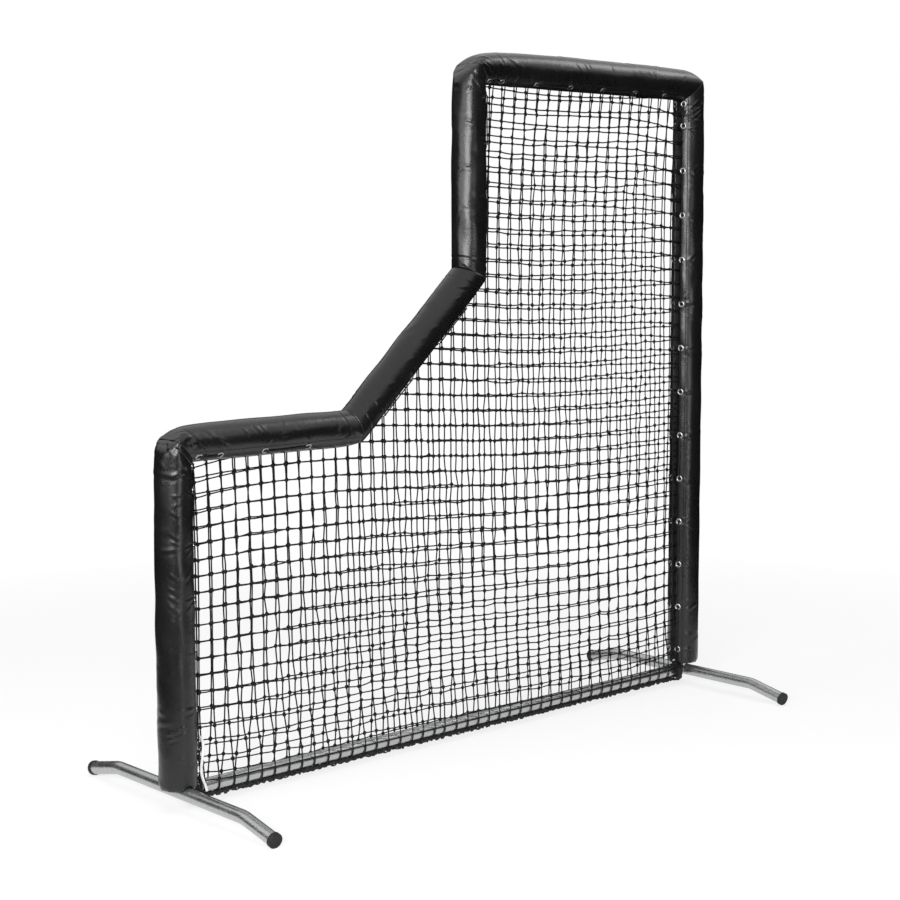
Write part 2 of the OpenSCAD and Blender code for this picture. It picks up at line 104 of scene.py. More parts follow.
REACH = 0.018       # how near to a bar's axis the net's strands end
DIAGONAL_DROP = REACH * math.hypot(1, SLOPE)    # the same, straight down from the diagonal
CUT_Z, SPLIT_X = 0.990, 0.050   # where the pieces of a layer of the net part
NECK_FOOT_Z = 1.425     # where their ends pass from the diagonal to the neck
LAYER_Y = 0.008     # half the distance between the layers
SKIRT_Z = 0.240     # below this they open to pass the rail
WRAP_R = 0.02215    # distance of the twine from the rail's axis
NET_X, NET_Z = 0.11, 1.13       # a first guess at the middle of the lattice of knots
MESH_X, MESH_Z = 0.048, 0.0473
HEM_Z = 0.02305
HEM_END = 1.002
BODY = "screen"


class Bar:
    """One padded bar. In its own axes +Z runs along it, +X points to the net."""

    def __init__(self, index):
        (x0, z0), (x1, z1) = CORNERS[index], CORNERS[index + 1]
        self.index = index
        self.name = BAR_NAMES[index]
        self.length = math.hypot(x1 - x0, z1 - z0)
        self.heading = math.atan2(x1 - x0, z1 - z0)
        c, s = math.cos(self.heading), math.sin(self.heading)
        self.place = Matrix(((c, 0, s, x0), (0, 1, 0, 0), (-s, 0, c, z0), (0, 0, 0, 1)))
        self.row = math.radians(ROW_ANGLE[index])
        self.stations = STATIONS[index]
        self.turn_before = self.turn_after = 0.0
        self.flat_start = 0.0 if index else PAD_FOOT[0]
        self.flat_stop = self.length - (PAD_FOOT[1] if index == 5 else 0.0)


BARS = [Bar(i) for i in range(6)]
for before, after in zip(BARS, BARS[1:]):
    before.turn_after = after.turn_before = after.heading - before.heading


# ---- Settings ----

def measure(name, description, default, low, high):
    return FloatProperty(name=name, description=description, default=default,
                         min=low, max=high, unit="LENGTH")


def tint(name, description, default):
    return FloatVectorProperty(name=name, description=description, default=default,
                               min=0, max=1, subtype="COLOR")


def power(name, description, default):
    return FloatProperty(name=name, description="Power of the " + description,
                         default=default, min=0, max=1000, subtype="POWER")


def factor(name, description, default, high=1.0):
    return FloatProperty(name=name, description=description, default=default,
                         min=0, max=high, subtype="FACTOR")


class PadSettings(bpy.types.PropertyGroup):
    radius: measure(
        "Pad Radius", "Radius of a padded bar over its cover",
        round((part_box("cover_neck")[1].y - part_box("cover_neck")[0].y) / 2, 5), 0.04, 0.07)
    vinyl: measure("Vinyl", "Thickness of the coated cloth of the covers",
                   0.0012, 0.0005, 0.003)
    wrinkles: factor("Wrinkles", "How strongly the covers are creased", 1.0, 1.3)
    columns: IntProperty(
        name="Columns", description="Mesh columns round each cover",
        default=84, min=48, max=120)
    vinyl_colour: tint("Vinyl Colour", "Colour of the covers", (0.0046, 0.0046, 0.0049))
    foam_colour: tint("Foam Colour", "Colour of the foam cores", (0.035, 0.035, 0.038))


class NettingSettings(bpy.types.PropertyGroup):
    twine: measure("Twine", "Thickness of the netting's twine", 0.0042, 0.001, 0.005)
    knot: measure("Knot", "Width of a knot", 0.0106, 0.003, 0.012)
    unevenness: measure("Unevenness", "How far a knot strays from its place",
                        0.0016, 0.0, 0.005)
    colour: tint("Twine Colour", "Colour of the netting and its hem",
                 (0.0045, 0.0045, 0.0045))


class CordSettings(bpy.types.PropertyGroup):
    lace_width: measure("Lace Width", "Width of the laces that close the covers",
                        0.0048, 0.003, 0.009)
    lace_colour: tint("Lace Colour", "Colour of the laces", (0.006, 0.006, 0.006))
    tie_width: measure("Tie Width", "Thickness of the loose white cord",
                       0.0078, 0.003, 0.009)
    tie_colour: tint("Tie Colour", "Colour of the loose cord", (0.92, 0.92, 0.90))


class MetalSettings(bpy.types.PropertyGroup):
    steel_colour: tint("Steel Colour", "Colour of the galvanised tubes", (0.46, 0.465, 0.47))
    nickel_colour: tint("Nickel Colour", "Colour of the eyelets", (0.44, 0.435, 0.42))
    rubber_colour: tint("Rubber Colour", "Colour of the foot caps", (0.006, 0.006, 0.006))


class StageSettings(bpy.types.PropertyGroup):
    focal_length: FloatProperty(
        name="Focal Length", description="Focal length of the camera, in millimetres",
        default=71.25, min=20, max=200)
    side_power: power("Side Power", "wide softbox on the left", 102)
    key_power: power("Key Power", "softbox beside the camera", 205)
    front_power: power("Front Power", "low strip in front of the screen", 34)
    top_power: power("Top Power", "softbox high on the right", 20)
    ceiling_power: power("Ceiling Power", "wide softbox overhead", 135)
    ambient: factor("Ambient", "Strength of the light from all round", 0.22)
    curtain: factor("Curtain", "Shade of the curtain round the studio, 0 is black", 0.03)
    clear_floor: measure("Clear Floor", "How far out from the screen the curtain's foot lies",
                         1.9, 1.2, 8)
    soft_shadow: BoolProperty(
        name="Soft Shadow", description="Lets the floor show a faint shadow", default=True)


class ScreenSettings(bpy.types.PropertyGroup):
    pads: PointerProperty(type=PadSettings)
    netting: PointerProperty(type=NettingSettings)
    cords: PointerProperty(type=CordSettings)
    metal: PointerProperty(type=MetalSettings)
    stage: PointerProperty(type=StageSettings)


# ---- Finishes ----

class Number:
    """A shader socket that takes part in plain sums."""

    def __init__(self, shading, socket):
        self.shading, self.socket = shading, socket

    def _sum(self, operation, left, right):
        return self.shading.node("ShaderNodeMath", {"operation": operation},
                                 {0: left, 1: right})

    def __add__(self, other): return self._sum("ADD", self, other)
    def __sub__(self, other): return self._sum("SUBTRACT", self, other)
    def __mul__(self, other): return self._sum("MULTIPLY", self, other)
    def __abs__(self): return self._sum("ABSOLUTE", self, 0)
    def sine(self): return self._sum("SINE", self, 0)
    def below(self, other): return self._sum("LESS_THAN", self, other)

    def spread(self, low, high, to_low=0.0, to_high=1.0):
        """Stretches low..high to the new range, held at its ends."""
        return self.shading.node(
            "ShaderNodeMapRange", {"clamp": True},
            {"Value": self, "From Min": low, "From Max": high,
             "To Min": to_low, "To Max": to_high})


class Shading:
    """A node tree that is built anew, with its output."""

    def __init__(self, owner, output):
        owner.use_nodes = True
        self.tree = owner.node_tree
        self.tree.nodes.clear()
        self.out = self.tree.nodes.new(output)

    def node(self, kind, settings=None, sockets=None, output=0):
        """Adds a node of any kind, with its settings made before its sockets are fed."""
        made = self.tree.nodes.new(kind)
        for key, value in (settings or {}).items():
            setattr(made, key, value)
        for key, value in (sockets or {}).items():
            if isinstance(value, Number):
                self.tree.links.new(value.socket, made.inputs[key])
            else:
                made.inputs[key].default_value = value
        return Number(self, made.outputs[output])

    def show(self, surface):
        self.tree.links.new(surface.socket, self.out.inputs["Surface"])

    def white_rays(self):
        """1 for the camera's rays, and for mirrored and passing ones."""
        path = self.node("ShaderNodeLightPath").socket.node.outputs
        camera, mirrored, passing = (Number(self, path["Is " + ray + " Ray"])
                                     for ray in ("Camera", "Glossy", "Transmission"))
        return (camera + mirrored + passing).spread(0, 1)


class Finish(Shading):
    """A node-built finish. Its shader is a Principled BSDF."""

    def __init__(self, name, **constants):
        self.material = bpy.data.materials.new(name)
        super().__init__(self.material, "ShaderNodeOutputMaterial")
        self.shader = self.tree.nodes.new("ShaderNodeBsdfPrincipled")
        self.show(Number(self, self.shader.outputs[0]))
        for socket, value in constants.items():
            self.shader.inputs[socket.replace("_", " ")].default_value = value

    def feed(self, **links):
        for socket, value in links.items():
            self.tree.links.new(value.socket, self.shader.inputs[socket.replace("_", " ")])

    def place(self, scale=(1, 1, 1), turn=(0, 0, 0)):
        """Object coordinates, stretched and turned."""
        seen = self.node("ShaderNodeTexCoord", output="Object")
        return self.node("ShaderNodeMapping", None,
                         {"Vector": seen, "Scale": scale, "Rotation": turn})

    def surface(self):
        """The two numbers of the piece's own UV map, in metres or turns."""
        seen = self.node("ShaderNodeTexCoord", output="UV")
        split = self.node("ShaderNodeSeparateXYZ", None, {"Vector": seen})
        return split, Number(self, split.socket.node.outputs[1])

    def cloud(self, where, scale, detail=3.0, roughness=0.5):
        return self.node("ShaderNodeTexNoise", None,
                         {"Vector": where, "Scale": scale, "Detail": detail,
                          "Roughness": roughness})

    def cells(self, where, scale, output="Distance"):
        return self.node("ShaderNodeTexVoronoi", None,
                         {"Vector": where, "Scale": scale}, output)

    def blend(self, factor, first, second):
        """Mixes two colours."""
        ends = [v if isinstance(v, Number) else (*v, 1) for v in (first, second)]
        return self.node("ShaderNodeMix", {"data_type": "RGBA"},
                         {0: factor, 6: ends[0], 7: ends[1]}, 2)

    def shades(self, factor, colour, first, second):
        """From one shade of a colour to another."""
        return self.blend(factor, shade(colour, first), shade(colour, second))

    def relief(self, height, distance):
        return self.node("ShaderNodeBump", None,
                         {"Height": height, "Distance": distance, "Strength": 1.0})


def shade(colour, factor):
    return tuple(min(1.0, c * factor) for c in colour)


def vinyl_finish(pads):
    """Black coated cloth: fine leather grain, soft patches of gloss, a sewn hem."""
    f = Finish("vinyl", Specular_IOR_Level=0.5)
    here = f.place()
    patches = f.cloud(here, 7.0, 4.0)
    scuffs = f.cloud(f.place((1, 1, 0.35)), 46.0, 5.0, 0.65)
    base = f.shades(patches.spread(0.35, 0.7), pads.vinyl_colour, 0.8, 1.3)
    dusty = f.blend(scuffs.spread(0.60, 0.80, 0.0, 0.10), base, shade(pads.vinyl_colour, 3.2))
    grain = f.cells(here, 820.0)
    pores = f.cloud(here, 420.0, 2.0)
    ripple = f.cloud(here, 60.0, 3.0)
    across, along = f.surface()
    fold = abs(across - 0.0165).spread(0.0, 0.0011)
    thread = abs(across - 0.0130).below(0.0005) * (
        (along * (2 * math.pi / 0.0046)).sine()).spread(-0.2, 0.1)
    height = (grain * 0.10 + pores * 0.06 + ripple * 0.55 + fold * 0.9 + thread * 0.5)
    f.feed(Base_Color=dusty,
           Roughness=(patches.spread(0.3, 0.75, 0.25, 0.30)
                      + scuffs.spread(0.5, 0.8, 0.0, 0.03)),
           Normal=f.relief(height, 0.0011))
    return f.material


def foam_finish(pads):
    """Closed-cell foam: matt, finely pitted."""
    f = Finish("foam", Specular_IOR_Level=0.25)
    here = f.place()
    pits = f.cells(here, 520.0)
    mottle = f.cloud(here, 30.0)
    f.feed(Base_Color=f.shades(mottle.spread(0.35, 0.7), pads.foam_colour, 0.75, 1.3),
           Roughness=mottle.spread(0.2, 0.8, 0.82, 0.95),
           Normal=f.relief(pits + mottle * 0.5, 0.0008))
    return f.material


def steel_finish(name, metal, along):
    """Galvanised tube: soft zinc flowers, faint drawn streaks, a few dull stains."""
    f = Finish(name)
    stretched = [260.0] * 3
    stretched["XYZ".index(along)] = 5.0
    streaks = f.cloud(f.place(tuple(stretched)), 1.0, 3.0)
    here = f.place()
    flowers = f.cells(here, 95.0, output="Color")
    tone = f.node("ShaderNodeRGBToBW", None, {"Color": flowers})
    stains = f.cloud(here, 11.0, 4.0)
    zinc = f.shades(tone * 0.55 + streaks * 0.45, metal.steel_colour, 0.86, 1.08)
    f.feed(Base_Color=f.blend(stains.spread(0.56, 0.78, 0.0, 0.45), zinc,
                              shade(metal.steel_colour, 0.66)),
           Metallic=stains.spread(0.5, 0.8, 0.95, 0.75),
           Roughness=streaks.spread(0.25, 0.75, 0.20, 0.32) + tone * 0.05,
           Normal=f.relief(streaks + stains * 0.6, 0.00004))
    return f.material


def plated_finish(name, colour, dull):
    """Plated small parts: nearly even, with fine scratches and handling marks."""
    f = Finish(name, Metallic=1.0)
    here = f.place()
    marks = f.cloud(here, 160.0, 4.0, 0.6)
    scratches = f.cloud(f.place((900, 900, 60), (0.4, 0.7, 0.2)), 1.0, 2.0)
    f.feed(Base_Color=f.shades(marks.spread(0.45, 0.8), colour, 1.0, 0.62),
           Roughness=marks.spread(0.3, 0.8, dull, dull + 0.22) + scratches * 0.06,
           Normal=f.relief(scratches, 0.00006))
    return f.material


def rubber_finish(metal):
    """Moulded rubber: matt and slightly bloomed."""
    f = Finish("black_rubber", Specular_IOR_Level=0.35)
    here = f.place()
    bloom = f.cloud(here, 42.0, 5.0, 0.6)
    pits = f.cloud(here, 900.0, 2.0)
    f.feed(Base_Color=f.shades(bloom.spread(0.42, 0.75), metal.rubber_colour, 1.0, 2.4),
           Roughness=bloom.spread(0.3, 0.8, 0.52, 0.78),
           Normal=f.relief(pits + bloom * 0.8, 0.0003))
    return f.material


def twine_finish(name, colour, turns, pitch, gloss):
    """Twisted twine: strands that wind round, each with its own fibres, with painted shade in
    the grooves between them and painted highlight on their crests.
    """
    f = Finish(name, Specular_IOR_Level=0.2)
    around, along = f.surface()
    twist = (around * (2 * math.pi * turns) + along * (2 * math.pi / pitch)).sine()
    fibres = f.cloud(f.place(), 1500.0, 2.0)
    wear = f.cloud(f.place(), 24.0, 4.0)
    # Painted shade and painted highlight: the colour is darker where the twist's relief is low
    # and lighter where it is high; wear adds random tone.
    f.feed(Base_Color=f.shades(twist.spread(-1, 1) * 0.5 + wear.spread(0.4, 0.75) * 0.5,
                               colour, 0.6, 1.7),
           Roughness=wear.spread(0.3, 0.8, gloss, gloss + 0.2),
           Normal=f.relief(twist * 0.5 + fibres * 0.25, 0.0004))
    return f.material


def braid_finish(name, colour, pitch, gloss):
    """Braided cord: two sets of strands that cross over and under, with painted shade in the
    hollows between them and painted highlight on their raised parts.
    """
    f = Finish(name, Specular_IOR_Level=0.4)
    around, along = f.surface()
    turn, climb = around * (2 * math.pi * 4), along * (2 * math.pi / pitch)
    braid = abs((turn + climb).sine() * (turn - climb).sine())
    fluff = f.cloud(f.place(), 1100.0, 3.0)
    grime = f.cloud(f.place(), 60.0, 4.0)
    # Painted shade and painted highlight: the colour is darker where the braid's relief is low
    # and lighter where it is high; grime adds random tone.
    f.feed(Base_Color=f.shades(braid * 0.6 + grime.spread(0.35, 0.75) * 0.4,
                               colour, 0.62, 1.2),
           Roughness=grime.spread(0.3, 0.8, gloss, gloss + 0.2),
           Normal=f.relief(braid + fluff * 0.3, 0.0005))
    return f.material


# ---- Modelling helpers ----

def clear_selection():
    if bpy.context.object and bpy.context.object.mode != "OBJECT":
        bpy.ops.object.mode_set(mode="OBJECT")
    bpy.ops.object.select_all(action="DESELECT")


def make_active(piece):
    clear_selection()
    piece.select_set(True)
    bpy.context.view_layer.objects.active = piece


def named(name):
    """Names the new active object and returns it."""
    piece = bpy.context.object
    piece.name = piece.data.name = name
    return piece


def points_of(piece):
    co = np.empty(len(piece.data.vertices) * 3)
    piece.data.vertices.foreach_get("co", co)
    return co.reshape(-1, 3)


def set_points(piece, co):
    piece.data.vertices.foreach_set("co", np.asarray(co, float).ravel())
    piece.data.update()


def moved(co, matrix):
    m = np.array(matrix)
    return co @ m[:3, :3].T + m[:3, 3]


def select_faces(piece, wanted):
    """In edit mode, selects the faces for which wanted(centre, normal) holds."""
    bpy.ops.mesh.select_mode(type="FACE")
    bpy.ops.mesh.select_all(action="DESELECT")
    mesh = bmesh.from_edit_mesh(piece.data)
    for face in mesh.faces:
        face.select_set(bool(wanted(face.calc_center_median(), face.normal)))
    mesh.select_flush_mode()
    bmesh.update_edit_mesh(piece.data)


def inset_steps(*steps):
    """Insets the selected faces and moves them up or down, step by step."""
    for inward, upward in steps:
        bpy.ops.mesh.inset(thickness=inward)
        bpy.ops.transform.translate(value=(0, 0, upward))


def add_modifier(piece, kind, **settings):
    make_active(piece)
    modifier = piece.modifiers.new(kind.title(), kind)
    for key, value in settings.items():
        setattr(modifier, key, value)
    bpy.ops.object.modifier_apply(modifier=modifier.name)


def place_origin(piece):
    make_active(piece)
    bpy.ops.object.transform_apply(location=True, rotation=True, scale=True)


def shade_smooth(piece, angle=None):
    make_active(piece)
    if angle is None:
        bpy.ops.object.shade_smooth()
    else:
        bpy.ops.object.shade_smooth_by_angle(angle=math.radians(angle))


def join(pieces, name):
    clear_selection()
    for piece in pieces:
        piece.select_set(True)
    bpy.context.view_layer.objects.active = pieces[0]
    bpy.ops.object.join()
    return named(name)


def dress(piece, material, node):
    """Gives a piece its finish and its body, and hides the frame's node that it stands for."""
    piece.data.materials.clear()
    piece.data.materials.append(material)
    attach(piece, BODY)
    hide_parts(node)
    return piece


def finish_node(name, material):
    """Gives a node of the frame its finish. Its mesh stays as it is."""
    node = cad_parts[name]
    node.data.materials.clear()
    node.data.materials.append(material)


def placed(name, data):
    """A new object in the scene that holds the data."""
    item = bpy.data.objects.new(name, data)
    bpy.context.scene.collection.objects.link(item)
    return item


def posed(place, angle, axis, size=1.0):
    return (Matrix.Translation(place) @ Matrix.Rotation(angle, 4, axis)
            @ Matrix.Scale(size, 4))


def new_piece(name, points, faces, uv=None):
    """A mesh object from its points and faces, with one UV for each face corner."""
    mesh = bpy.data.meshes.new(name)
    mesh.from_pydata([tuple(p) for p in points], [], faces)
    if uv is not None:
        layer = mesh.uv_layers.new(name="UVMap")
        layer.data.foreach_set("uv", np.asarray(uv, float).ravel())
    return placed(name, mesh)


def smooth_route(points, steps):
    """A Catmull-Rom curve through the points."""
    pts = [np.array(p, float) for p in points]
    pts = [2 * pts[0] - pts[1]] + pts + [2 * pts[-1] - pts[-2]]
    out = []
    for a, b, c, d in zip(pts, pts[1:], pts[2:], pts[3:]):
        for k in range(steps):
            t = k / steps
            out.append(0.5 * (2 * b + (c - a) * t + (2 * a - 5 * b + 4 * c - d) * t * t
                              + (3 * b - a - 3 * c + d) * t ** 3))
    return out + [pts[-2]]


def swept_cords(name, routes, width, height=None, sides=6, ups=None):
    """Cords along routes as one mesh. The UV map runs once round and in metres along."""
    height = height or width
    points, faces, uv = [], [], []
    ring = np.arange(sides) * 2 * math.pi / sides
    for number, route in enumerate(routes):
        route = np.array([tuple(p) for p in route])
        ahead = np.diff(route, axis=0)
        steps = np.linalg.norm(ahead, axis=1)
        ahead /= np.maximum(steps, 1e-9)[:, None]
        along = np.vstack([ahead[:1], ahead[1:] + ahead[:-1], ahead[-1:]])
        along /= np.linalg.norm(along, axis=1)[:, None]
        length = np.concatenate([[0], np.cumsum(steps)])
        base, up = len(points), np.array([0.31, 0.93, 0.17])
        for k, (centre, way) in enumerate(zip(route, along)):
            if ups is not None:
                up = np.array(ups[number][k], float)
            up = up - way * (up @ way)
            up /= np.linalg.norm(up)
            side = np.cross(way, up)
            points.extend(centre + side * (math.cos(a) * width / 2)
                          + up * (math.sin(a) * height / 2) for a in ring)
        for k in range(len(route) - 1):
            for s in range(sides):
                a, b = base + k * sides + s, base + k * sides + (s + 1) % sides
                faces.append((a, b, b + sides, a + sides))
                u, v = s / sides, (s + 1) / sides
                uv += [(u, length[k]), (v, length[k]), (v, length[k + 1]), (u, length[k + 1])]
        last = base + (len(route) - 1) * sides
        faces.append(tuple(range(base + sides - 1, base - 1, -1)))
        faces.append(tuple(range(last, last + sides)))
        uv += [(0, 0)] * (2 * sides)
    piece = new_piece(name, points, faces, uv)
    shade_smooth(piece)
    return piece


def copies(model, name, places):
    """Copies of a small model at many places, as one mesh; the model is removed."""
    co, count = points_of(model), len(model.data.vertices)
    polygons = [tuple(p.vertices) for p in model.data.polygons]
    points = np.vstack([moved(co, place) for place in places])
    faces = [tuple(v + k * count for v in polygon)
             for k in range(len(places)) for polygon in polygons]
    bpy.data.objects.remove(model)
    piece = new_piece(name, points, faces, [(0, 0)] * sum(len(f) for f in faces))
    shade_smooth(piece)
    return piece


# ---- Covers ----

# Creases: angle from the net side (minus is the front) and place along the bar at each
# end, then half width and height in millimetres.
CREASES = {
    "upright_left": [
        (-178, 1012, -128, 968, 6, 2.4), (-160, 1030, -112, 1000, 5, 2.0),
        (-137, 912, -75, 944, 5, 2.2), (-128, 869, -89, 879, 3.5, 1.5),
        (-125, 845, -96, 857, 3.5, 1.1), (-135, 834, -103, 817, 4, 0.9),
        (-139, 777, -106, 755, 4, 1.3), (-131, 754, -107, 740, 3.5, 1.0),
        (-141, 668, -109, 641, 4, 1.6), (-145, 629, -110, 607, 4, 1.5),
        (-143, 606, -110, 584, 3.5, 1.2), (-143, 582, -105, 550, 4, 1.6),
        (-144, 543, -115, 524, 4, 1.0), (-156, 221, -127, 228, 4, 2.4),
        (-127, 228, -94, 246, 4, 2.4), (-152, 206, -122, 218, 5, 1.6),
        (-127, 147, -103, 156, 4, 1.5), (-123, 968, -111, 995, 6, -1.4),
        (-90, 945, -70, 976, 5, 1.6),
    ],
    "lower_bar": [
        (-178, -8, -126, 24, 6, 2.4), (-172, 16, -132, 56, 5, -2.0),
        (-111, 91, -94, 100, 3, 1.3), (-111, 109, -89, 116, 3, 1.4),
        (-105, 126, -90, 134, 3, 0.9), (-128, 204, -91, 227, 4, 1.5),
        (-139, 241, -93, 273, 4, 1.6), (-135, 265, -97, 285, 3.5, 1.4),
        (-90, 326, -99, 358, 5, 0.9), (-113, 372, -96, 397, 5, 0.9), (-103, 6, -127, 51, 6, 2.4),
        (-80, 11, -100, 53, 6, 2.2), (-117, 25, -76, 28, 5, -1.6),
    ],
    "diagonal": [
        (-116, 79, -109, 117, 5, 1.1), (-118, 154, -90, 187, 5, 1.0),
        (-110, 20, -120, 52, 5, 1.2), (-114, 251, -96, 289, 5, 1.0),
        (-114, 386, -95, 420, 6, 1.0), (-146, 554, -95, 587, 5, 1.3),
        (-109, 518, -95, 548, 5, 1.0), (-138, -6, -104, -19, 4, 1.1),
    ],
    "neck": [
        (-178, 642, -122, 598, 6, 2.4), (-165, 614, -110, 584, 5, -2.0),
        (-150, 655, -100, 622, 4, 2.4), (-128, 606, -100, 596, 4, 2.4),
        (-152, 334, -119, 322, 3, 1.4), (-148, 318, -122, 314, 3, 0.9),
        (-151, 467, -115, 458, 3.5, 1.4), (-151, 444, -122, 437, 3.5, 0.9),
        (-149, 533, -125, 550, 3, 1.7), (-115, 578, -81, 557, 3.5, 2.2),
        (-102, 583, -69, 563, 3, 1.8), (-128, 571, -101, 548, 4, -1.2),
        (-159, 21, -119, 0, 5, 1.2), (-155, 211, -122, 202, 4, 0.8),
    ],
    "top_bar": [
        (-178, -8, -124, 26, 6, 2.4), (-165, 22, -112, 66, 5, 2.0),
        (-134, 466, -100, 469, 3, 1.5), (-141, 490, -105, 488, 3, 1.5),
        (-138, 599, -109, 592, 3, 1.4), (-126, 767, -97, 775, 3, 1.3),
        (-134, 799, -99, 795, 3, 1.5), (-107, 172, -59, 189, 4, 1.5),
        (-95, 144, -53, 172, 5, 0.9), (-100, 13, -65, 45, 4, 2.0), (-106, 28, -76, 57, 4, 1.5),
        (-89, 244, -78, 280, 5, 0.7), (-98, 644, -87, 682, 5, 0.8),
    ],
    "upright_right": [
        (-54, 293, -86, 267, 4, 1.7), (-47, 341, -70, 325, 4, 1.0), (-44, 597, -77, 558, 4, 1.8),
        (-47, 626, -62, 599, 4, 1.0), (-42, 780, -82, 801, 4, 1.1), (-33, 63, -78, 43, 4, 2.2),
        (-22, 86, -70, 73, 3.5, 2.2), (-30, 110, -102, 82, 4, 2.4), (-43, 53, -95, 75, 4, -1.2),
        (-37, 93, -84, 116, 4, -1.2), (-43, 900, -79, 880, 4, 1.2),
        (-51, 1198, -89, 1178, 4, 1.2), (-63, 1527, -97, 1502, 5, 1.0),
        (-59, 1810, -104, 1790, 5, 1.2),
    ],
}
# How deep a crease may cut into a cover and how far it may stand out, in metres.
RELIEF = (-0.0022, 0.0026)
# Sewn seams round a bar: place along the bar, slope toward the net side and depth, in
# millimetres.
SEAMS = {
    "upright_left": [(986, -0.10, 1.2)], "lower_bar": [(54, 0.06, 1.2), (576, 0.05, 1.4)],
    "diagonal": [(34, 0.1, 0.8), (600, 0.0, 0.9)], "neck": [(40, 0.05, 1.3)],
    "top_bar": [(100, 0.0, 0.7)], "upright_right": [(62, 0.35, 1.2)],
}
# How far the outside of a bar is drawn in at its two ends, and over what length that
# fades.
DRAWN_IN = (
    ((0.0, 1.0), (0.011, 0.15)), ((0.008, 0.08), (0.0, 1.0)), ((0.0, 1.0), (0.0, 1.0)),
    ((0.0, 1.0), (0.010, 0.11)), ((0.015, 0.09), (0.004, 0.10)), ((0.009, 0.20), (0.0, 1.0)),
)


def end_planes(bar, x):
    """Where a bar's pad starts and ends, for points of its section."""
    clear = RAIL_Z + np.sqrt(np.maximum(0, (TUBE_R + 0.0022) ** 2 - x ** 2)) + 0.0006
    foot = np.maximum(PAD_FOOT[0] if bar.index == 0 else PAD_FOOT[1], clear)
    start = x * math.tan(bar.turn_before / 2) + SEAM if bar.index else foot
    stop = (bar.length - x * math.tan(bar.turn_after / 2) - SEAM if bar.index < 5
            else bar.length - foot)
    return start, stop


def stretch_ends(bar, x, z, reach=0.16):
    """Slides the rings near a bar's ends so that the last ones meet its end planes."""
    start, stop = end_planes(bar, x)
    low = np.clip(1 - (z - bar.flat_start) / reach, 0, 1)
    high = np.clip(1 - (bar.flat_stop - z) / reach, 0, 1)
    return z + (start - bar.flat_start) * low + (stop - bar.flat_stop) * high


def drawn_in(bar, x, z, radius):
    """The section's x after the outside of the bar is drawn in near its ends."""
    outer = np.clip(-x / radius, 0, 1) ** 1.2
    (start, fade), (stop, wane) = DRAWN_IN[bar.index]
    near = start * np.exp(-np.maximum(0, z - 0.06) / fade)
    far = stop * np.exp(-np.maximum(0, bar.length - 0.06 - z) / wane)
    return x + outer * (near + far)


def blunt(bar, x, z, give):
    """Rounds off the outside of the bend at both ends of a bar, whichever way it turns.
    Give moves the cut: a wrinkle's height lets it show there."""
    for turn, at, way, cut in (
            (bar.turn_before, 0.0, -1, CORNER_CUTS[bar.index]),
            (bar.turn_after, bar.length, 1, CORNER_CUTS[(bar.index + 1) % 6])):
        if turn:
            side = math.copysign(1, turn)
            c, s = math.cos(turn / 2), way * math.sin(abs(turn) / 2)
            over = side * x * c - (z - at) * s + cut + 0.55 * give
            over = -CUT_ROUNDING * np.logaddexp(0, -over / CUT_ROUNDING)
            x, z = x - side * over * c, z + over * s
    return x, z


def random_creases(bar):
    """Small creases that radiate from the eyelets, and looser ones between them."""
    rng = random.Random(100 + bar.index)
    made = []

    def crease(a0, z0, length, tilt, half, height, side=1):
        tilt = math.radians(tilt)
        a1 = a0 + side * math.degrees(length * math.cos(tilt) / (1000 * PAD_R))
        made.append((a0, z0, a1, z0 + length * math.sin(tilt), half, height))

    for z in bar.stations:
        for side in (-1, 1):
            for _ in range(3):
                tilt, length = rng.uniform(-45, 45), rng.uniform(16, 46)
                crease(side * (math.degrees(bar.row) + rng.uniform(13, 20)),
                       z * 1000 + rng.uniform(-9, 9), length, tilt,
                       rng.uniform(3.0, 5.5), rng.uniform(0.5, 1.3), side)
    for _ in range(int(bar.length * 26)):
        crease(rng.uniform(-180, 180), rng.uniform(40, bar.length * 1000 - 40),
               rng.uniform(35, 110), rng.gauss(0, 38), rng.uniform(5, 12),
               rng.uniform(0.3, 1.0))
    for end, way in ((0.0, 1), (bar.length, -1)):
        for _ in range(9):
            crease(rng.uniform(-150, 150), 1000 * end + way * rng.uniform(30, 110),
                   rng.uniform(30, 70), rng.uniform(-70, 70), rng.uniform(4, 8),
                   rng.uniform(0.7, 1.6))
    return made


def crease_rise(angle, z, radius, crease):
    """Which points a crease touches, and how far it lifts them: a ridge with a shallow
    valley beside it, that fades at both ends."""
    a0, z0, a1, z1, half, height = crease
    away = (angle - math.radians((a0 + a1) / 2) + math.pi) % (2 * math.pi) - math.pi
    ds, dz = radius * math.radians(a1 - a0), (z1 - z0) / 1000
    length = math.hypot(ds, dz)
    ds, dz = ds / length, dz / length
    px, pz = radius * away, z - (z0 + z1) / 2000
    along = (px * ds + pz * dz) / length + 0.5
    over = (px * dz - pz * ds) / (half / 1000)
    near = (along > 0) & (along < 1) & (np.abs(over) < 4)
    t, b = along[near], over[near]
    fade = np.minimum(1, 3.2 * t) * np.minimum(1, 3.2 * (1 - t))
    return near, height / 1000 * fade * (np.exp(-b * b) - 0.6 * np.exp(-(b - 1.6) ** 2))


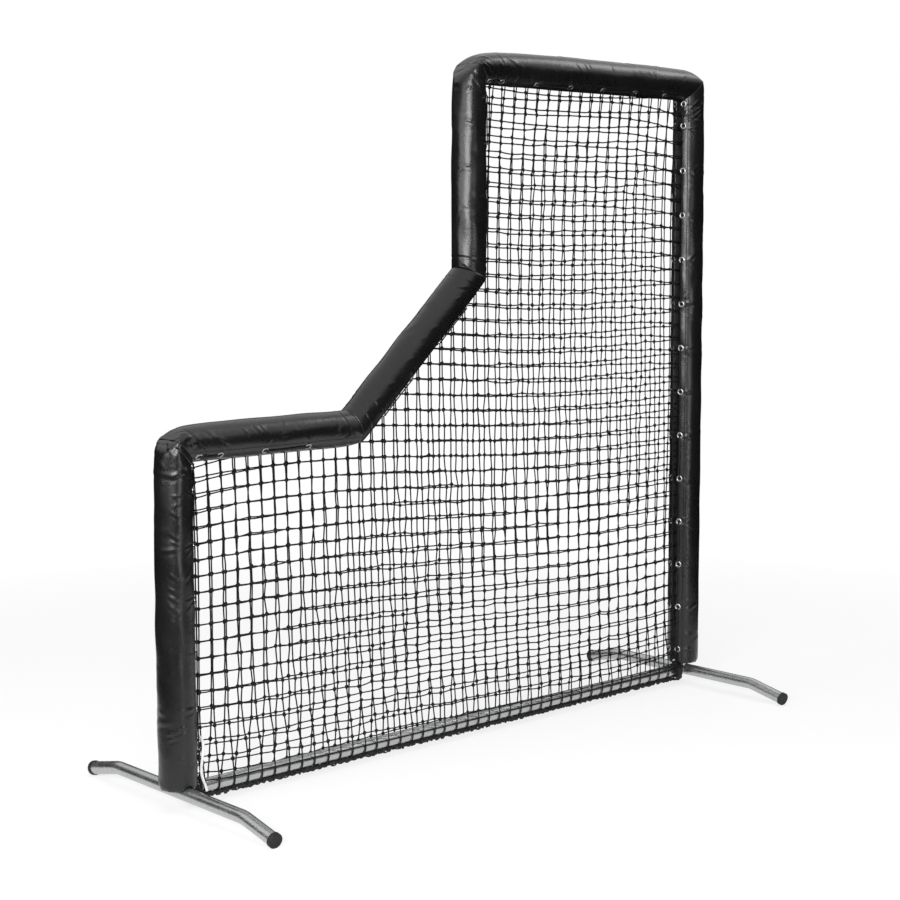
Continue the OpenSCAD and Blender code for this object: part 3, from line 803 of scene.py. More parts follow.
def relief_of(bar, angle, z, radius, strength):
    """How far the cover stands out at each point, in metres: slow waves, creases and
    seams, and a flat place round each eyelet."""
    rise = np.zeros_like(z)
    rng = random.Random(bar.index)
    for _ in range(7):
        k, f, p = rng.randint(1, 4), rng.uniform(9, 46), rng.uniform(0, 6.28)
        rise += 0.00028 * np.sin(k * angle + f * z + p)
    for crease in CREASES[bar.name] + random_creases(bar):
        near, lift = crease_rise(angle, z, radius, crease)
        rise[near] += strength * lift
    for place, slope, depth in SEAMS[bar.name]:
        off = (z - place / 1000 - slope * radius * np.cos(angle)) / 0.0030
        rise += -depth / 1000 * np.exp(-off * off) + 0.0005 * np.exp(-((off - 2.6) ** 2))
    rise = np.clip(rise, *RELIEF)
    for at in bar.stations:
        for row in (-bar.row, bar.row):
            still = np.exp(-(np.hypot(radius * (angle - row), z - at) / 0.015) ** 4)
            rise = rise * (1 - still) - 0.0003 * still
    return rise


def cover_section(radius, columns):
    """The x, y, angle and freedom to crease of each column round a cover, from one edge
    of the slit to the other. The four columns at either edge are its lip."""
    lip_x = np.array([0.0430, 0.0475, 0.0505, 0.0520]) * radius / PAD_R
    lip_y = np.array([0.0102, 0.0102, 0.0107, 0.0122])
    first = math.radians(16.5)
    arc = np.linspace(first, 2 * math.pi - first, columns - 8)
    angle = np.concatenate([np.full(4, first), arc, np.full(4, 2 * math.pi - first)])
    return (np.concatenate([lip_x, radius * np.cos(arc), lip_x[::-1]]),
            np.concatenate([lip_y, radius * np.sin(arc), -lip_y[::-1]]),
            np.where(angle > math.pi, angle - 2 * math.pi, angle),
            np.concatenate([[0, 0, 0.2, 0.6], np.ones(columns - 8), [0.6, 0.2, 0, 0]]))


def punch_holes(piece, bar, arc_at, flat_z, radius):
    """Deletes the faces of a cover under its eyelets."""
    mesh = bmesh.new()
    mesh.from_mesh(piece.data)
    mesh.verts.ensure_lookup_table()
    doomed = set()
    for at in bar.stations:
        for hole in (-radius * bar.row, radius * bar.row):
            close = np.nonzero(np.hypot(arc_at - hole, flat_z - at) < 0.016)[0]
            for face in {face for v in close for face in mesh.verts[v].link_faces}:
                where = np.mean([(arc_at[v.index], flat_z[v.index]) for v in face.verts], 0)
                if math.hypot(where[0] - hole, where[1] - at) < 0.0070:
                    doomed.add(face)
    bmesh.ops.delete(mesh, geom=list(doomed), context="FACES")
    mesh.to_mesh(piece.data)
    mesh.free()


def cover(bar, pads):
    """A sheet of coated cloth rolled round the foam, from one edge of the slit to the
    other, with a hole under each eyelet."""
    radius, columns = pads.radius, pads.columns
    clear_selection()
    bpy.ops.mesh.primitive_grid_add(x_subdivisions=columns - 1,
                                    y_subdivisions=int(bar.length / 0.004), size=1)
    piece = named("padded_cover_" + bar.name)
    flat = points_of(piece)
    column = np.rint((flat[:, 0] + 0.5) * (columns - 1)).astype(int)
    x, y, angle, free = (values[column] for values in cover_section(radius, columns))
    flat_z = bar.flat_start + (bar.flat_stop - bar.flat_start) * (flat[:, 1] + 0.5)
    rise = relief_of(bar, angle, flat_z, radius, pads.wrinkles) * free
    if bar.index in (0, 5):
        rim = flat_z - bar.flat_start if bar.index == 0 else bar.flat_stop - flat_z
        ragged = 0.0010 * np.sin(9 * angle) + 0.0008 * np.sin(23 * angle + 1)
        rise += free * (-0.0046 + ragged) * np.exp(-(rim / 0.0055) ** 2)
    grow = 1 + rise / radius
    x, y = drawn_in(bar, x * grow, flat_z, radius), y * grow
    x, z = blunt(bar, x, stretch_ends(bar, x, flat_z), rise)
    set_points(piece, np.column_stack([x, y, z]))
    corner = np.empty(len(piece.data.loops), int)
    piece.data.loops.foreach_get("vertex_index", corner)
    uv = np.column_stack([radius * (np.abs(angle) - bar.row), z])
    piece.data.uv_layers.active.data.foreach_set("uv", uv[corner].ravel())
    punch_holes(piece, bar, radius * angle, flat_z, radius)
    if np.mean([p.normal.y * p.center.y for p in piece.data.polygons]) < 0:
        piece.data.flip_normals()
    set_points(piece, moved(points_of(piece), bar.place))
    add_modifier(piece, "SOLIDIFY", thickness=pads.vinyl, offset=-1.0)
    shade_smooth(piece)
    return piece


def foam_core(bar, pads):
    """Foam with a slit for the net and a bore that follows the tube round its bends."""
    outer = pads.radius - pads.vinyl + RELIEF[0]
    arc = np.linspace(math.asin(SLIT / outer), 2 * math.pi - math.asin(SLIT / outer), 49)
    ring = np.linspace(2 * math.pi - math.asin(SLIT / BORE_R), math.asin(SLIT / BORE_R), 25)
    ox, bx = outer * np.cos(arc), BORE_R * np.cos(ring)
    y = np.concatenate([outer * np.sin(arc), BORE_R * np.sin(ring)])
    straight = np.concatenate([ox, bx])
    rows = []

    def add(x, z):
        rows.append(np.column_stack([x, y, z]))

    def bend(turn, at, way, steps):
        side = math.copysign(1, turn)
        reach = at - way * BEND_R * math.tan(abs(turn) / 2)
        for step in steps:
            b = abs(turn) / 2 * step / 6
            x1 = side * BEND_R - side * (BEND_R - side * bx) * math.cos(b)
            z1 = reach + way * (BEND_R - side * bx) * math.sin(b) - way * SEAM
            z0 = reach + way * (BEND_R - side * ox) * math.tan(b) - way * SEAM
            x0, z0 = blunt(bar, drawn_in(bar, ox, z0, outer), z0, FOAM_GIVE)
            add(np.concatenate([x0, x1]), np.concatenate([z0, z1]))

    if bar.index:
        bend(bar.turn_before, 0.0, -1, range(6, -1, -1))
    else:
        add(straight, end_planes(bar, straight)[0] + FOAM_SHORT)
    between = [z for z in (0.10, 0.14, 0.19, 0.26, 0.36) if z < bar.length / 2]
    for z in between + [bar.length - z for z in reversed(between)]:
        x0 = drawn_in(bar, ox, np.full_like(ox, z), outer)
        add(np.concatenate([x0, bx]), np.full_like(straight, z))
    if bar.index < 5:
        bend(bar.turn_after, bar.length, 1, range(7))
    else:
        add(straight, end_planes(bar, straight)[1] - FOAM_SHORT)
    count = len(straight)
    faces = [(a, b, b + count, a + count) for r in range(len(rows) - 1)
             for a, b in ((r * count + k, r * count + (k + 1) % count) for k in range(count))]
    faces.append(tuple(range(count - 1, -1, -1)))
    faces.append(tuple((len(rows) - 1) * count + k for k in range(count)))
    piece = new_piece("foam_core_" + bar.name, moved(np.vstack(rows), bar.place), faces)
    shade_smooth(piece, 40)
    return piece


# ---- Operators ----

class LSCREEN_OT_stage(bpy.types.Operator):
    """Adds the floor, the softboxes, the surroundings and the camera"""
    bl_idname = "lscreen.stage"
    bl_label = "Stage"

    def execute(self, context):
        setup = context.scene.lscreen.stage
        context.scene.view_settings.view_transform = "Standard"
        self.floor(setup)
        self.curtain(setup)
        self.surroundings(context.scene, setup)
        for name, place, aim, width, height in (
                ("side", (-5.03, -0.3, 2.15), (0.0, 0.0, 2.0), 4.2, 1.6),
                ("key", (-3.95, -3.0, 2.2), (0.0, 0.0, 2.0), 2.5, 1.6),
                ("front", (-0.92, -4.75, 0.75), (0.0, 0.0, 0.75), 0.6, 1.4),
                ("top", (2.95, -0.7, 4.2), (0.9, 0.0, 1.6), 1.0, 1.3),
                ("ceiling", (0.0, -0.5, 4.5), (0.0, -0.5, 0.0), 5.0, 5.0)):
            lamp = self.softbox("softbox_" + name, place, aim, width, height,
                                getattr(setup, name + "_power"))
            lamp.visible_glossy = name != "ceiling"
        self.camera(context.scene, setup)
        return {"FINISHED"}

    def floor(self, setup):
        clear_selection()
        bpy.ops.mesh.primitive_circle_add(vertices=96, radius=24, fill_type="NGON",
                                          location=(0, 0, -0.0004))
        floor = named("floor")
        place_origin(floor)
        f = Finish("floor_paint", Base_Color=(0.96, 0.96, 0.96, 1), Roughness=0.9,
                   Specular_IOR_Level=0.1)
        seen = f.node("ShaderNodeTexCoord", output="Object")
        far = f.node("ShaderNodeVectorMath", {"operation": "LENGTH"}, {0: seen}, "Value")
        dull = f.cloud(f.place(), 3.0)
        f.feed(Roughness=dull.spread(0.3, 0.7, 0.82, 0.95))
        # How much of what the camera sees near the screen is plain white, not lit paint.
        keep = 0.72 if setup.soft_shadow else 1.0
        white = f.white_rays() * far.spread(1.5, 3.6, keep, 1.0)
        glow = f.node("ShaderNodeEmission", None, {"Color": (1, 1, 1, 1), "Strength": 1.0})
        f.show(f.node("ShaderNodeMixShader", None,
                      {0: white, 1: Number(f, f.shader.outputs[0]), 2: glow}))
        floor.data.materials.append(f.material)

    def curtain(self, setup):
        """A dark curtain round the studio, unseen by the camera: it keeps the sides of
        the pads and the middles of the tubes dark."""
        clear_selection()
        radius, height = 8.5, 4.6
        bpy.ops.mesh.primitive_cylinder_add(
            vertices=64, radius=radius, depth=height, location=(0, 0, height / 2 + 0.001))
        curtain = named("curtain")
        place_origin(curtain)
        bpy.ops.object.mode_set(mode="EDIT")
        select_faces(curtain, lambda c, n: n.z > 0.9)
        bpy.ops.mesh.delete(type="ONLY_FACE")
        select_faces(curtain, lambda c, n: n.z < -0.9)
        bpy.ops.mesh.inset(thickness=radius - setup.clear_floor)
        bpy.ops.mesh.delete(type="ONLY_FACE")
        bpy.ops.object.mode_set(mode="OBJECT")
        f = Finish("curtain_cloth", Roughness=0.95, Specular_IOR_Level=0.0)
        folds = f.cloud(f.place((1, 1, 0.05)), 2.5)
        f.feed(Base_Color=f.shades(folds, [setup.curtain] * 3, 0.8, 1.2))
        curtain.data.materials.append(f.material)
        curtain.visible_camera = curtain.visible_shadow = curtain.visible_diffuse = False

    def surroundings(self, scene, setup):
        """Plain white where it is seen, and an even light of its own strength."""
        scene.world = bpy.data.worlds.new("studio_white")
        shading = Shading(scene.world, "ShaderNodeOutputWorld")
        lit, seen = (shading.node("ShaderNodeBackground", None,
                                  {"Color": (1, 1, 1, 1), "Strength": strength})
                     for strength in (setup.ambient, 1.0))
        shading.show(shading.node("ShaderNodeMixShader", None,
                                  {0: shading.white_rays(), 1: lit, 2: seen}))

    def softbox(self, name, place, aim, width, height, power):
        data = bpy.data.lights.new(name, "AREA")
        data.shape, data.size, data.size_y, data.energy = "RECTANGLE", width, height, power
        lamp = placed(name, data)
        lamp.location = place
        way = Vector(aim) - Vector(place)
        lamp.rotation_euler = way.to_track_quat("-Z", "Y").to_euler()
        lamp.visible_camera = False
        return lamp

    def camera(self, scene, setup):
        data = bpy.data.cameras.new("camera")
        camera = placed("camera", data)
        data.lens, data.sensor_width, data.clip_end = setup.focal_length, 36, 200
        azimuth, elevation, roll = (math.radians(v) for v in (-42.228, 6.499, -0.175))
        back = Vector((math.sin(azimuth) * math.cos(elevation),
                       -math.cos(azimuth) * math.cos(elevation), math.sin(elevation)))
        right = (-back).cross(Vector((0, 0, 1))).normalized()
        up = right.cross(-back)
        across = right * math.cos(roll) + up * math.sin(roll)
        upward = up * math.cos(roll) - right * math.sin(roll)
        turn = Matrix((across, upward, back)).transposed()
        camera.matrix_world = Matrix.Translation((-3.7042, -4.0276, 1.5343)) @ turn.to_4x4()
        scene.camera = camera


class LSCREEN_OT_tubes(bpy.types.Operator):
    """Galvanises the frame's tubes, elbows, rail and feet"""
    bl_idname = "lscreen.tubes"
    bl_label = "Tubes"

    def execute(self, context):
        metal = context.scene.lscreen.metal
        finishes = {along: steel_finish("galvanised_steel_" + along.lower(), metal, along)
                    for along in "XYZ"}
        groups = {
            "X": ["bottom_rail", "lower_bar_tube", "top_bar_tube"],
            "Y": ["foot_left", "foot_right"],
            "Z": ["upright_tube_left", "upright_tube_right", "neck_tube", "diagonal_tube",
                  "elbow_left", "elbow_lower", "elbow_neck", "elbow_top_left",
                  "elbow_top_right"],
        }
        for along, names in groups.items():
            for name in names:
                finish_node(name, finishes[along])
        return {"FINISHED"}


class LSCREEN_OT_fasteners(bpy.types.Operator):
    """Plates the screws and the snap buttons and blues their springs"""
    bl_idname = "lscreen.fasteners"
    bl_label = "Fasteners"

    def execute(self, context):
        zinc = plated_finish("zinc_screw", (0.62, 0.62, 0.60), 0.26)
        spring = plated_finish("spring_steel", (0.34, 0.35, 0.37), 0.32)
        finish_node("frame_screws", zinc)
        for place, way in (("upright_left", (-1, 0, 0)), ("upright_right", (1, 0, 0)),
                           ("rail_left", (0, 0, -1)), ("rail_right", (0, 0, -1))):
            finish_node("button_" + place, zinc)
            self.leaf_spring(place, Vector(way), spring)
        return {"FINISHED"}

    def leaf_spring(self, place, way, finish):
        """A copy of the button's leaf spring, with its own mesh and finish."""
        node = "button_spring_" + place
        piece = placed("leaf_spring_" + place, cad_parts[node].data.copy())
        dress(piece, finish, node)
        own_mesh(piece)


class LSCREEN_OT_foot_caps(bpy.types.Operator):
    """Models one rubber cap and puts a copy on each end of the feet"""
    bl_idname = "lscreen.foot_caps"
    bl_label = "Foot Caps"

    def execute(self, context):
        rubber = rubber_finish(context.scene.lscreen.metal)
        # A foot slopes down from bend_y, and its caps are flattened where they stand.
        drop, bend_y = math.radians(12.5), 0.307
        cap_r, length, flat = 0.0212, 0.013, 0.0015
        end_z = cap_r * math.cos(drop) - flat
        end_y = bend_y + (RAIL_Z - end_z) / math.tan(drop)
        for side, sign in (("left", -1), ("right", 1)):
            pair = []
            for way in (-1, 1):
                cap = self.cap(cap_r, length)
                co = moved(points_of(cap), posed((sign * HALF, end_y, end_z),
                                                 -math.pi / 2 - drop, "X"))
                co[:, 2] = np.maximum(co[:, 2], 0.0)
                if way < 0:
                    co[:, 1] *= -1
                    cap.data.flip_normals()
                set_points(cap, co)
                pair.append(cap)
            piece = join(pair, "rubber_caps_" + side)
            shade_smooth(piece, 35)
            dress(piece, rubber, "foot_caps_" + side)
        return {"FINISHED"}

    def cap(self, radius, length):
        """A cup that opens downward along -Z, with a rounded rim and a dished face."""
        clear_selection()
        bpy.ops.mesh.primitive_cylinder_add(vertices=48, radius=radius, depth=length,
                                            location=(0, 0, -length / 2))
        cap = named("cap")
        place_origin(cap)
        bpy.ops.object.mode_set(mode="EDIT")
        select_faces(cap, lambda c, n: n.z > 0.9)
        bpy.ops.mesh.bevel(offset=0.0026, segments=4, affect="EDGES")
        select_faces(cap, lambda c, n: n.z > 0.9 and c.xy.length < 0.004)
        inset_steps((0.0034, -0.0009), (0.0012, -0.0003))
        select_faces(cap, lambda c, n: n.z < -0.9)
        bpy.ops.mesh.inset(thickness=radius - TUBE_R - 0.00015)
        bpy.ops.mesh.extrude_region_move(
            TRANSFORM_OT_translate={"value": (0, 0, length - 0.0033)})
        bpy.ops.object.mode_set(mode="OBJECT")
        return cap


class LSCREEN_OT_foams(bpy.types.Operator):
    """Models the split foam cores in the covers"""
    bl_idname = "lscreen.foams"
    bl_label = "Foam Cores"

    def execute(self, context):
        pads = context.scene.lscreen.pads
        material = foam_finish(pads)
        for bar in BARS:
            core = dress(foam_core(bar, pads), material, "foam_" + bar.name)
        return {"FINISHED"}


class LSCREEN_OT_covers(bpy.types.Operator):
    """Rolls a creased vinyl cover round each foam core"""
    bl_idname = "lscreen.covers"
    bl_label = "Covers"

    def execute(self, context):
        pads = context.scene.lscreen.pads
        material = vinyl_finish(pads)
        for bar in BARS:
            piece = dress(cover(bar, pads), material, "cover_" + bar.name)
        return {"FINISHED"}


class LSCREEN_OT_eyelets(bpy.types.Operator):
    """Models one rolled eyelet and sets a copy in each hole of the covers"""
    bl_idname = "lscreen.eyelets"
    bl_label = "Eyelets"

    def execute(self, context):
        setup = context.scene.lscreen
        nickel = plated_finish("nickel", setup.metal.nickel_colour, 0.20)
        for bar in BARS:
            places = [bar.place @ posed((0, 0, z), side * bar.row, "Z")
                      @ Matrix.Rotation(math.pi / 2, 4, "Y")
                      for z in bar.stations for side in (-1, 1)]
            piece = copies(self.eyelet(setup.pads.radius), "eyelets_nickel_" + bar.name, places)
            shade_smooth(piece, 50)
            dress(piece, nickel, "eyelets_" + bar.name)
        return {"FINISHED"}

    def eyelet(self, radius):
        """A flange with a rolled lip and a barrel, about +Z at the cover's radius."""
        clear_selection()
        bpy.ops.mesh.primitive_cylinder_add(vertices=24, radius=0.011, depth=0.0009,
                                            location=(0, 0, radius + 0.00010))
        eyelet = named("eyelet")
        place_origin(eyelet)
        bpy.ops.object.mode_set(mode="EDIT")
        select_faces(eyelet, lambda c, n: n.z > 0.9)
        inset_steps((0.0009, 0.0006), (0.0014, 0.00045), (0.0018, -0.0001),
                    (0.0010, -0.0008))
        bpy.ops.mesh.extrude_region_move(TRANSFORM_OT_translate={"value": (0, 0, -0.0040)})
        bpy.ops.mesh.delete(type="FACE")
        select_faces(eyelet, lambda c, n: n.z < -0.9)
        bpy.ops.mesh.delete(type="ONLY_FACE")
        bpy.ops.object.mode_set(mode="OBJECT")
        return eyelet


class LSCREEN_OT_laces(bpy.types.Operator):
    """Laces each cover shut with one cord in running stitch"""
    bl_idname = "lscreen.laces"
    bl_label = "Laces"

    def execute(self, context):
        setup = context.scene.lscreen
        material = braid_finish("lace", setup.cords.lace_colour, 0.0070, 0.42)
        for bar in BARS:
            route, ups = self.route(bar, setup.pads.radius)
            piece = swept_cords("lace_cord_" + bar.name, [route], setup.cords.lace_width,
                                LACE_HEIGHT, 10, [ups])
            dress(piece, material, "lace_" + bar.name)
        return {"FINISHED"}

    def route(self, bar, radius):
        """From pair to pair: over the cover, down an eyelet, through the pad and the net,
        and up the other eyelet."""
        rng = random.Random(40 + bar.index)
        over, chord = radius + 0.0036, 0.047
        spots = []

        def add(side, r, z, off=0.0):
            a = bar.row + off / radius
            spots.append((r * math.cos(a), side * r * math.sin(a), z))

        for k, z in enumerate(bar.stations):
            s = 1 if k % 2 == 0 else -1
            for side, r, up in ((s, over, -0.0085), (s, over + 0.0006, -0.0035),
                                (s, over - 0.0048, 0), (s, chord, 0), (-s, chord, 0),
                                (-s, over - 0.0048, 0), (-s, over + 0.0006, 0.0035),
                                (-s, over, 0.0085)):
                add(side, r, z + up)
            if k + 1 < len(bar.stations):
                gap = bar.stations[k + 1] - z
                for t in (0.3, 0.5, 0.7):
                    bow = rng.uniform(-0.0012, 0.0020)
                    add(-s, over - 0.0006, z + gap * t, bow)
        route = smooth_route(spots, 4)
        ups = [(p[0], p[1], 0.0) if math.hypot(p[0], p[1]) > chord + 0.004 else (1, 0, 0)
               for p in route]
        turn = bar.place.to_3x3()
        return ([bar.place @ Vector(p) for p in route], [turn @ Vector(u) for u in ups])


# How each layer of the net hangs: sums of powers that give the x of a column at a
# height over DRAPE_Z, and the z of a row at an x. Columns and rows are counted in parts
# of DRAPE_STEPS.
DRAPE_Z, DRAPE_STEPS = 1.05, 22
DRAPE_ORDER = [(i, j) for i in range(6) for j in range(6 - i)]
DRAPE = {
    "front": ([
        0.1100, -0.0317, 0.0309, 0.0249, -0.0124, -0.0097, 1.0665, -0.0116, 0.0027, 0.0949,
        0.0389, 0.0295, -0.0307, -0.1556, -0.1361, -0.0164, 0.0832, 0.1299, -0.0180, 0.0060,
        -0.0074,
    ], [
        1.1297, -0.0641, 0.0280, 0.0752, -0.0437, -0.0047, 1.0332, 0.0152, 0.0049, 0.0561,
        -0.0578, -0.0178, 0.0186, 0.0209, -0.0081, 0.0108, -0.0592, 0.0420, 0.0194, -0.0276,
        0.0050,
    ]),
    "back": ([
        0.1044, 0.0089, 0.0006, 0.0027, 0.0281, 0.0021, 1.0446, 0.0068, -0.0089, 0.0091, 0.0512,
        0.0565, -0.0127, -0.0396, -0.0075, -0.0231, 0.0031, -0.0255, -0.0193, 0.0055, 0.0157,
    ], [
        1.1262, -0.0788, 0.0236, 0.0761, -0.0402, -0.0211, 1.0264, -0.0132, 0.0653, 0.0345,
        -0.1002, -0.0011, 0.0363, -0.0295, -0.0028, -0.0205, 0.0394, -0.0180, -0.0092, 0.0367,
        -0.0011,
    ]),
}


def draped(sums, u, v):
    return sum(c * u ** i * v ** j for c, (i, j) in zip(sums, DRAPE_ORDER))


def net_knot(width):
    """A small lump of crossed turns."""
    clear_selection()
    bpy.ops.mesh.primitive_uv_sphere_add(segments=8, ring_count=5, radius=width / 2)
    knot = named("knot")
    co = points_of(knot)
    swell = 1 + 0.16 * np.sin(3 * np.arctan2(co[:, 1], co[:, 0]) + 700 * co[:, 2])
    set_points(knot, co * swell[:, None] * (1.0, 0.72, 1.12))
    return knot


class LSCREEN_OT_netting(bpy.types.Operator):
    """Knots the two layers of the net bag in the frame"""
    bl_idname = "lscreen.netting"
    bl_label = "Netting"

    def execute(self, context):
        setup = context.scene.lscreen.netting
        material = twine_finish("net_twine", setup.colour, 3, 0.0085, 0.5)
        for side, sign in (("front", -1), ("back", 1)):
            for part, (strands, knots) in self.layer(side, sign, setup.unevenness).items():
                cords = swept_cords("strands", strands, setup.twine)
                tied = copies(net_knot(setup.knot), "knots", knots)
                piece = join([cords, tied], f"netting_{side}_{part}")
                dress(piece, material, f"net_{side}_{part}")
        return {"FINISHED"}

    def top_of(self, x):
        """Where the strands end under the tube over the net."""
        if x < LOW_X:
            return LOW_Z - REACH
        if x < SPLIT_X:
            return min(LOW_Z - DIAGONAL_DROP + (x - LOW_X) * SLOPE, NECK_FOOT_Z)
        return TOP_Z - REACH

    def left_of(self, z):
        """Where the strands end at the tube to the net's left."""
        if z < LOW_Z - REACH:
            return -HALF + REACH
        if z < NECK_FOOT_Z:
            return LOW_X + (z - LOW_Z + DIAGONAL_DROP) / SLOPE
        return SPLIT_X

    def depth(self, z):
        """Distance of a layer from the middle: it opens toward the rail."""
        if z > SKIRT_Z:
            return LAYER_Y
        return LAYER_Y + (WRAP_R - LAYER_Y) * (SKIRT_Z - z) / (SKIRT_Z - RAIL_Z)

    def layer(self, side, sign, stray):
        """The strands and the knots of a layer, for each of its pieces."""
        rng = random.Random(7 if sign < 0 else 19)
        columns_at, rows_at = DRAPE[side]
        columns, rows = range(-26, 23), range(-24, 22)
        lattice = {}
        for i in columns:
            for j in rows:
                x, z = NET_X + MESH_X * i, NET_Z + MESH_Z * j
                for _ in range(6):
                    z = draped(rows_at, j / DRAPE_STEPS, max(-1.03, min(1.03, x)))
                    x = draped(columns_at, i / DRAPE_STEPS, max(-0.99, min(1.0, z - DRAPE_Z)))
                if not (0.060 < z < self.top_of(x) - 0.004 and abs(x) < 1.035
                        and x > self.left_of(z) + 0.004):
                    continue
                ease = max(0.0, min(1.0, 6 * self.clearance(x, z)))
                px = x + ease * rng.gauss(0, stray)
                pz = z + ease * rng.gauss(0, stray)
                py = sign * self.depth(pz) + ease * rng.gauss(0, 0.0010)
                lattice[i, j] = Vector((px, py, pz))
        parts = {name: ([], []) for name in ("lower", "upper", "corner")}
        for (i, j), p in lattice.items():
            if self.clearance(p.x, p.z) < 0.004:
                continue
            parts[self.part_of(p.x, p.z)][1].append(
                posed(p, rng.uniform(-0.5, 0.5), "Y", rng.uniform(0.88, 1.16)))
        for i in columns:
            line = [lattice[i, j] for j in rows if (i, j) in lattice]
            if len(line) < 2:
                continue
            foot = self.hem_end(line[0].x, sign)
            head = Vector((line[-1].x, sign * LAYER_Y, self.top_of(line[-1].x)))
            self.split(parts, foot + line + [head], rng, upright=True)
        for j in rows:
            line = [lattice[i, j] for i in columns if (i, j) in lattice]
            if len(line) < 2:
                continue
            start = Vector((self.left_of(line[0].z), line[0].y, line[0].z))
            stop = Vector((HALF - REACH, line[-1].y, line[-1].z))
            self.split(parts, [start] + line + [stop], rng, upright=False)
        if sign < 0:
            self.gather(parts["lower"], -1.003, 0.176, rng)
            self.gather(parts["lower"], 0.998, 0.112, rng)
        return parts

    def gather(self, part, x, high, rng):
        """The slack of the net's side, bunched above an end of the rail."""
        for k in range(6):
            heights = np.linspace(high - 0.014 * k, 0.035, 9)
            part[0].append([Vector((x + rng.gauss(0, 0.0032),
                                    -self.depth(z) - rng.uniform(0.001, 0.005), z))
                            for z in heights])
        for z in np.linspace(0.05, high, 7):
            place = (x + rng.gauss(0, 0.003), -self.depth(z) - 0.0045, z)
            part[1].append(posed(place, rng.uniform(0, 3), "Y"))

    def clearance(self, x, z):
        """Distance from the nearest pad, less than zero inside it."""
        spot = Vector((x, z))
        return min((spot - nearest_on(a, b, spot)).length
                   for a, b in zip(CORNERS, CORNERS[1:])) - PAD_R

    def part_of(self, x, z):
        if z < CUT_Z:
            return "lower"
        return "upper" if x > SPLIT_X else "corner"

    def hem_end(self, x, sign):
        """A strand's way from the hem, past the rail and up."""
        route = [(0.0084, 0.0262), (0.0111, 0.0308), (0.0192, 0.0389), (WRAP_R, RAIL_Z)]
        return [Vector((x, sign * y, z)) for y, z in route]

    def split(self, parts, line, rng, upright):
        """Shares a line out among the pieces and gives it a little slack from knot to
        knot."""
        current, route = None, []
        for a, b in zip(line, line[1:]):
            far = b if upright or b.z < CUT_Z else a
            part = self.part_of(far.x + (0.001 if not upright else 0), (a.z + b.z) / 2)
            if part != current:
                if len(route) > 1:
                    parts[current][0].append(route)
                route, current = [a], part
            span = (b - a).length
            slack = span * rng.uniform(0.0, 0.035)
            bow = Vector((rng.gauss(0, 0.4) * slack if upright else 0,
                          rng.gauss(0, 0.3) * slack,
                          0 if upright else -slack))
            if span > 0.02:
                route += [a.lerp(b, 0.33) + bow * 0.9, a.lerp(b, 0.67) + bow * 0.9]
            route.append(b)
        if len(route) > 1:
            parts[current][0].append(route)


def nearest_on(a, b, spot):
    a, b = Vector(a), Vector(b)
    way = b - a
    t = max(0.0, min(1.0, (spot - a).dot(way) / way.length_squared))
    return a + way * t


class LSCREEN_OT_hem(bpy.types.Operator):
    """Gathers the net's lower edge into a knotted rope under the rail"""
    bl_idname = "lscreen.hem"
    bl_label = "Hem"

    def execute(self, context):
        setup = context.scene.lscreen.netting
        rng = random.Random(5)
        material = bpy.data.materials["net_twine"]
        xs = np.linspace(-HEM_END, HEM_END, 420)
        strands = []
        for k in range(5):
            turn = (2 * math.pi * k / 5 + xs * 2 * math.pi / 0.085
                    + 0.9 * np.sin(xs * 21 + k))
            r = 0.0042 + 0.0007 * np.sin(xs * 57 + 2 * k)
            strands.append(np.column_stack([xs, r * np.cos(turn), HEM_Z + r * np.sin(turn)]))
        rope = swept_cords("rope", strands, 0.0056)
        loops, knots = [], []
        x = -HEM_END + 0.012
        while x < HEM_END - 0.012:
            side = rng.choice((-1, 1))
            y = side * rng.uniform(0.0015, 0.0040)
            z = HEM_Z - rng.uniform(0.002, 0.0045)
            knots.append(posed((x, y, z), rng.uniform(0, 3.1), "X", rng.uniform(1.0, 1.4)))
            if rng.random() < 0.6:
                place = (x + rng.uniform(-0.01, 0.01), -rng.uniform(0.003, 0.006),
                         HEM_Z + rng.uniform(-0.002, 0.004))
                knots.append(posed(place, rng.uniform(0, 3.1), "Y", rng.uniform(0.9, 1.25)))
            reach = rng.uniform(0.016, 0.030)
            drop = rng.uniform(0.0075, 0.0105)
            loops.append([Vector((x + reach * t, side * 0.006 * math.cos(t * 3.1),
                                  HEM_Z - drop * math.sin(math.pi * t)))
                          for t in np.linspace(0, 1, 7)])
            loops.append([Vector((x + 0.004 * math.sin(3 * t) + 0.006 * t,
                                  0.0076 * math.cos(t * 2 * math.pi),
                                  HEM_Z + 0.0072 * math.sin(t * 2 * math.pi)))
                          for t in np.linspace(0, 1, 13)])
            x += rng.uniform(0.019, 0.030)
        turns = swept_cords("turns", loops, setup.twine)
        tied = copies(net_knot(setup.knot), "knots", knots)
        piece = join([rope, turns, tied], "gathered_hem")
        co = points_of(piece)
        co[:, 2] = np.maximum(co[:, 2], 0.0085)     # clear of the floor
        set_points(piece, co)
        dress(piece, material, "hem_rope")
        return {"FINISHED"}


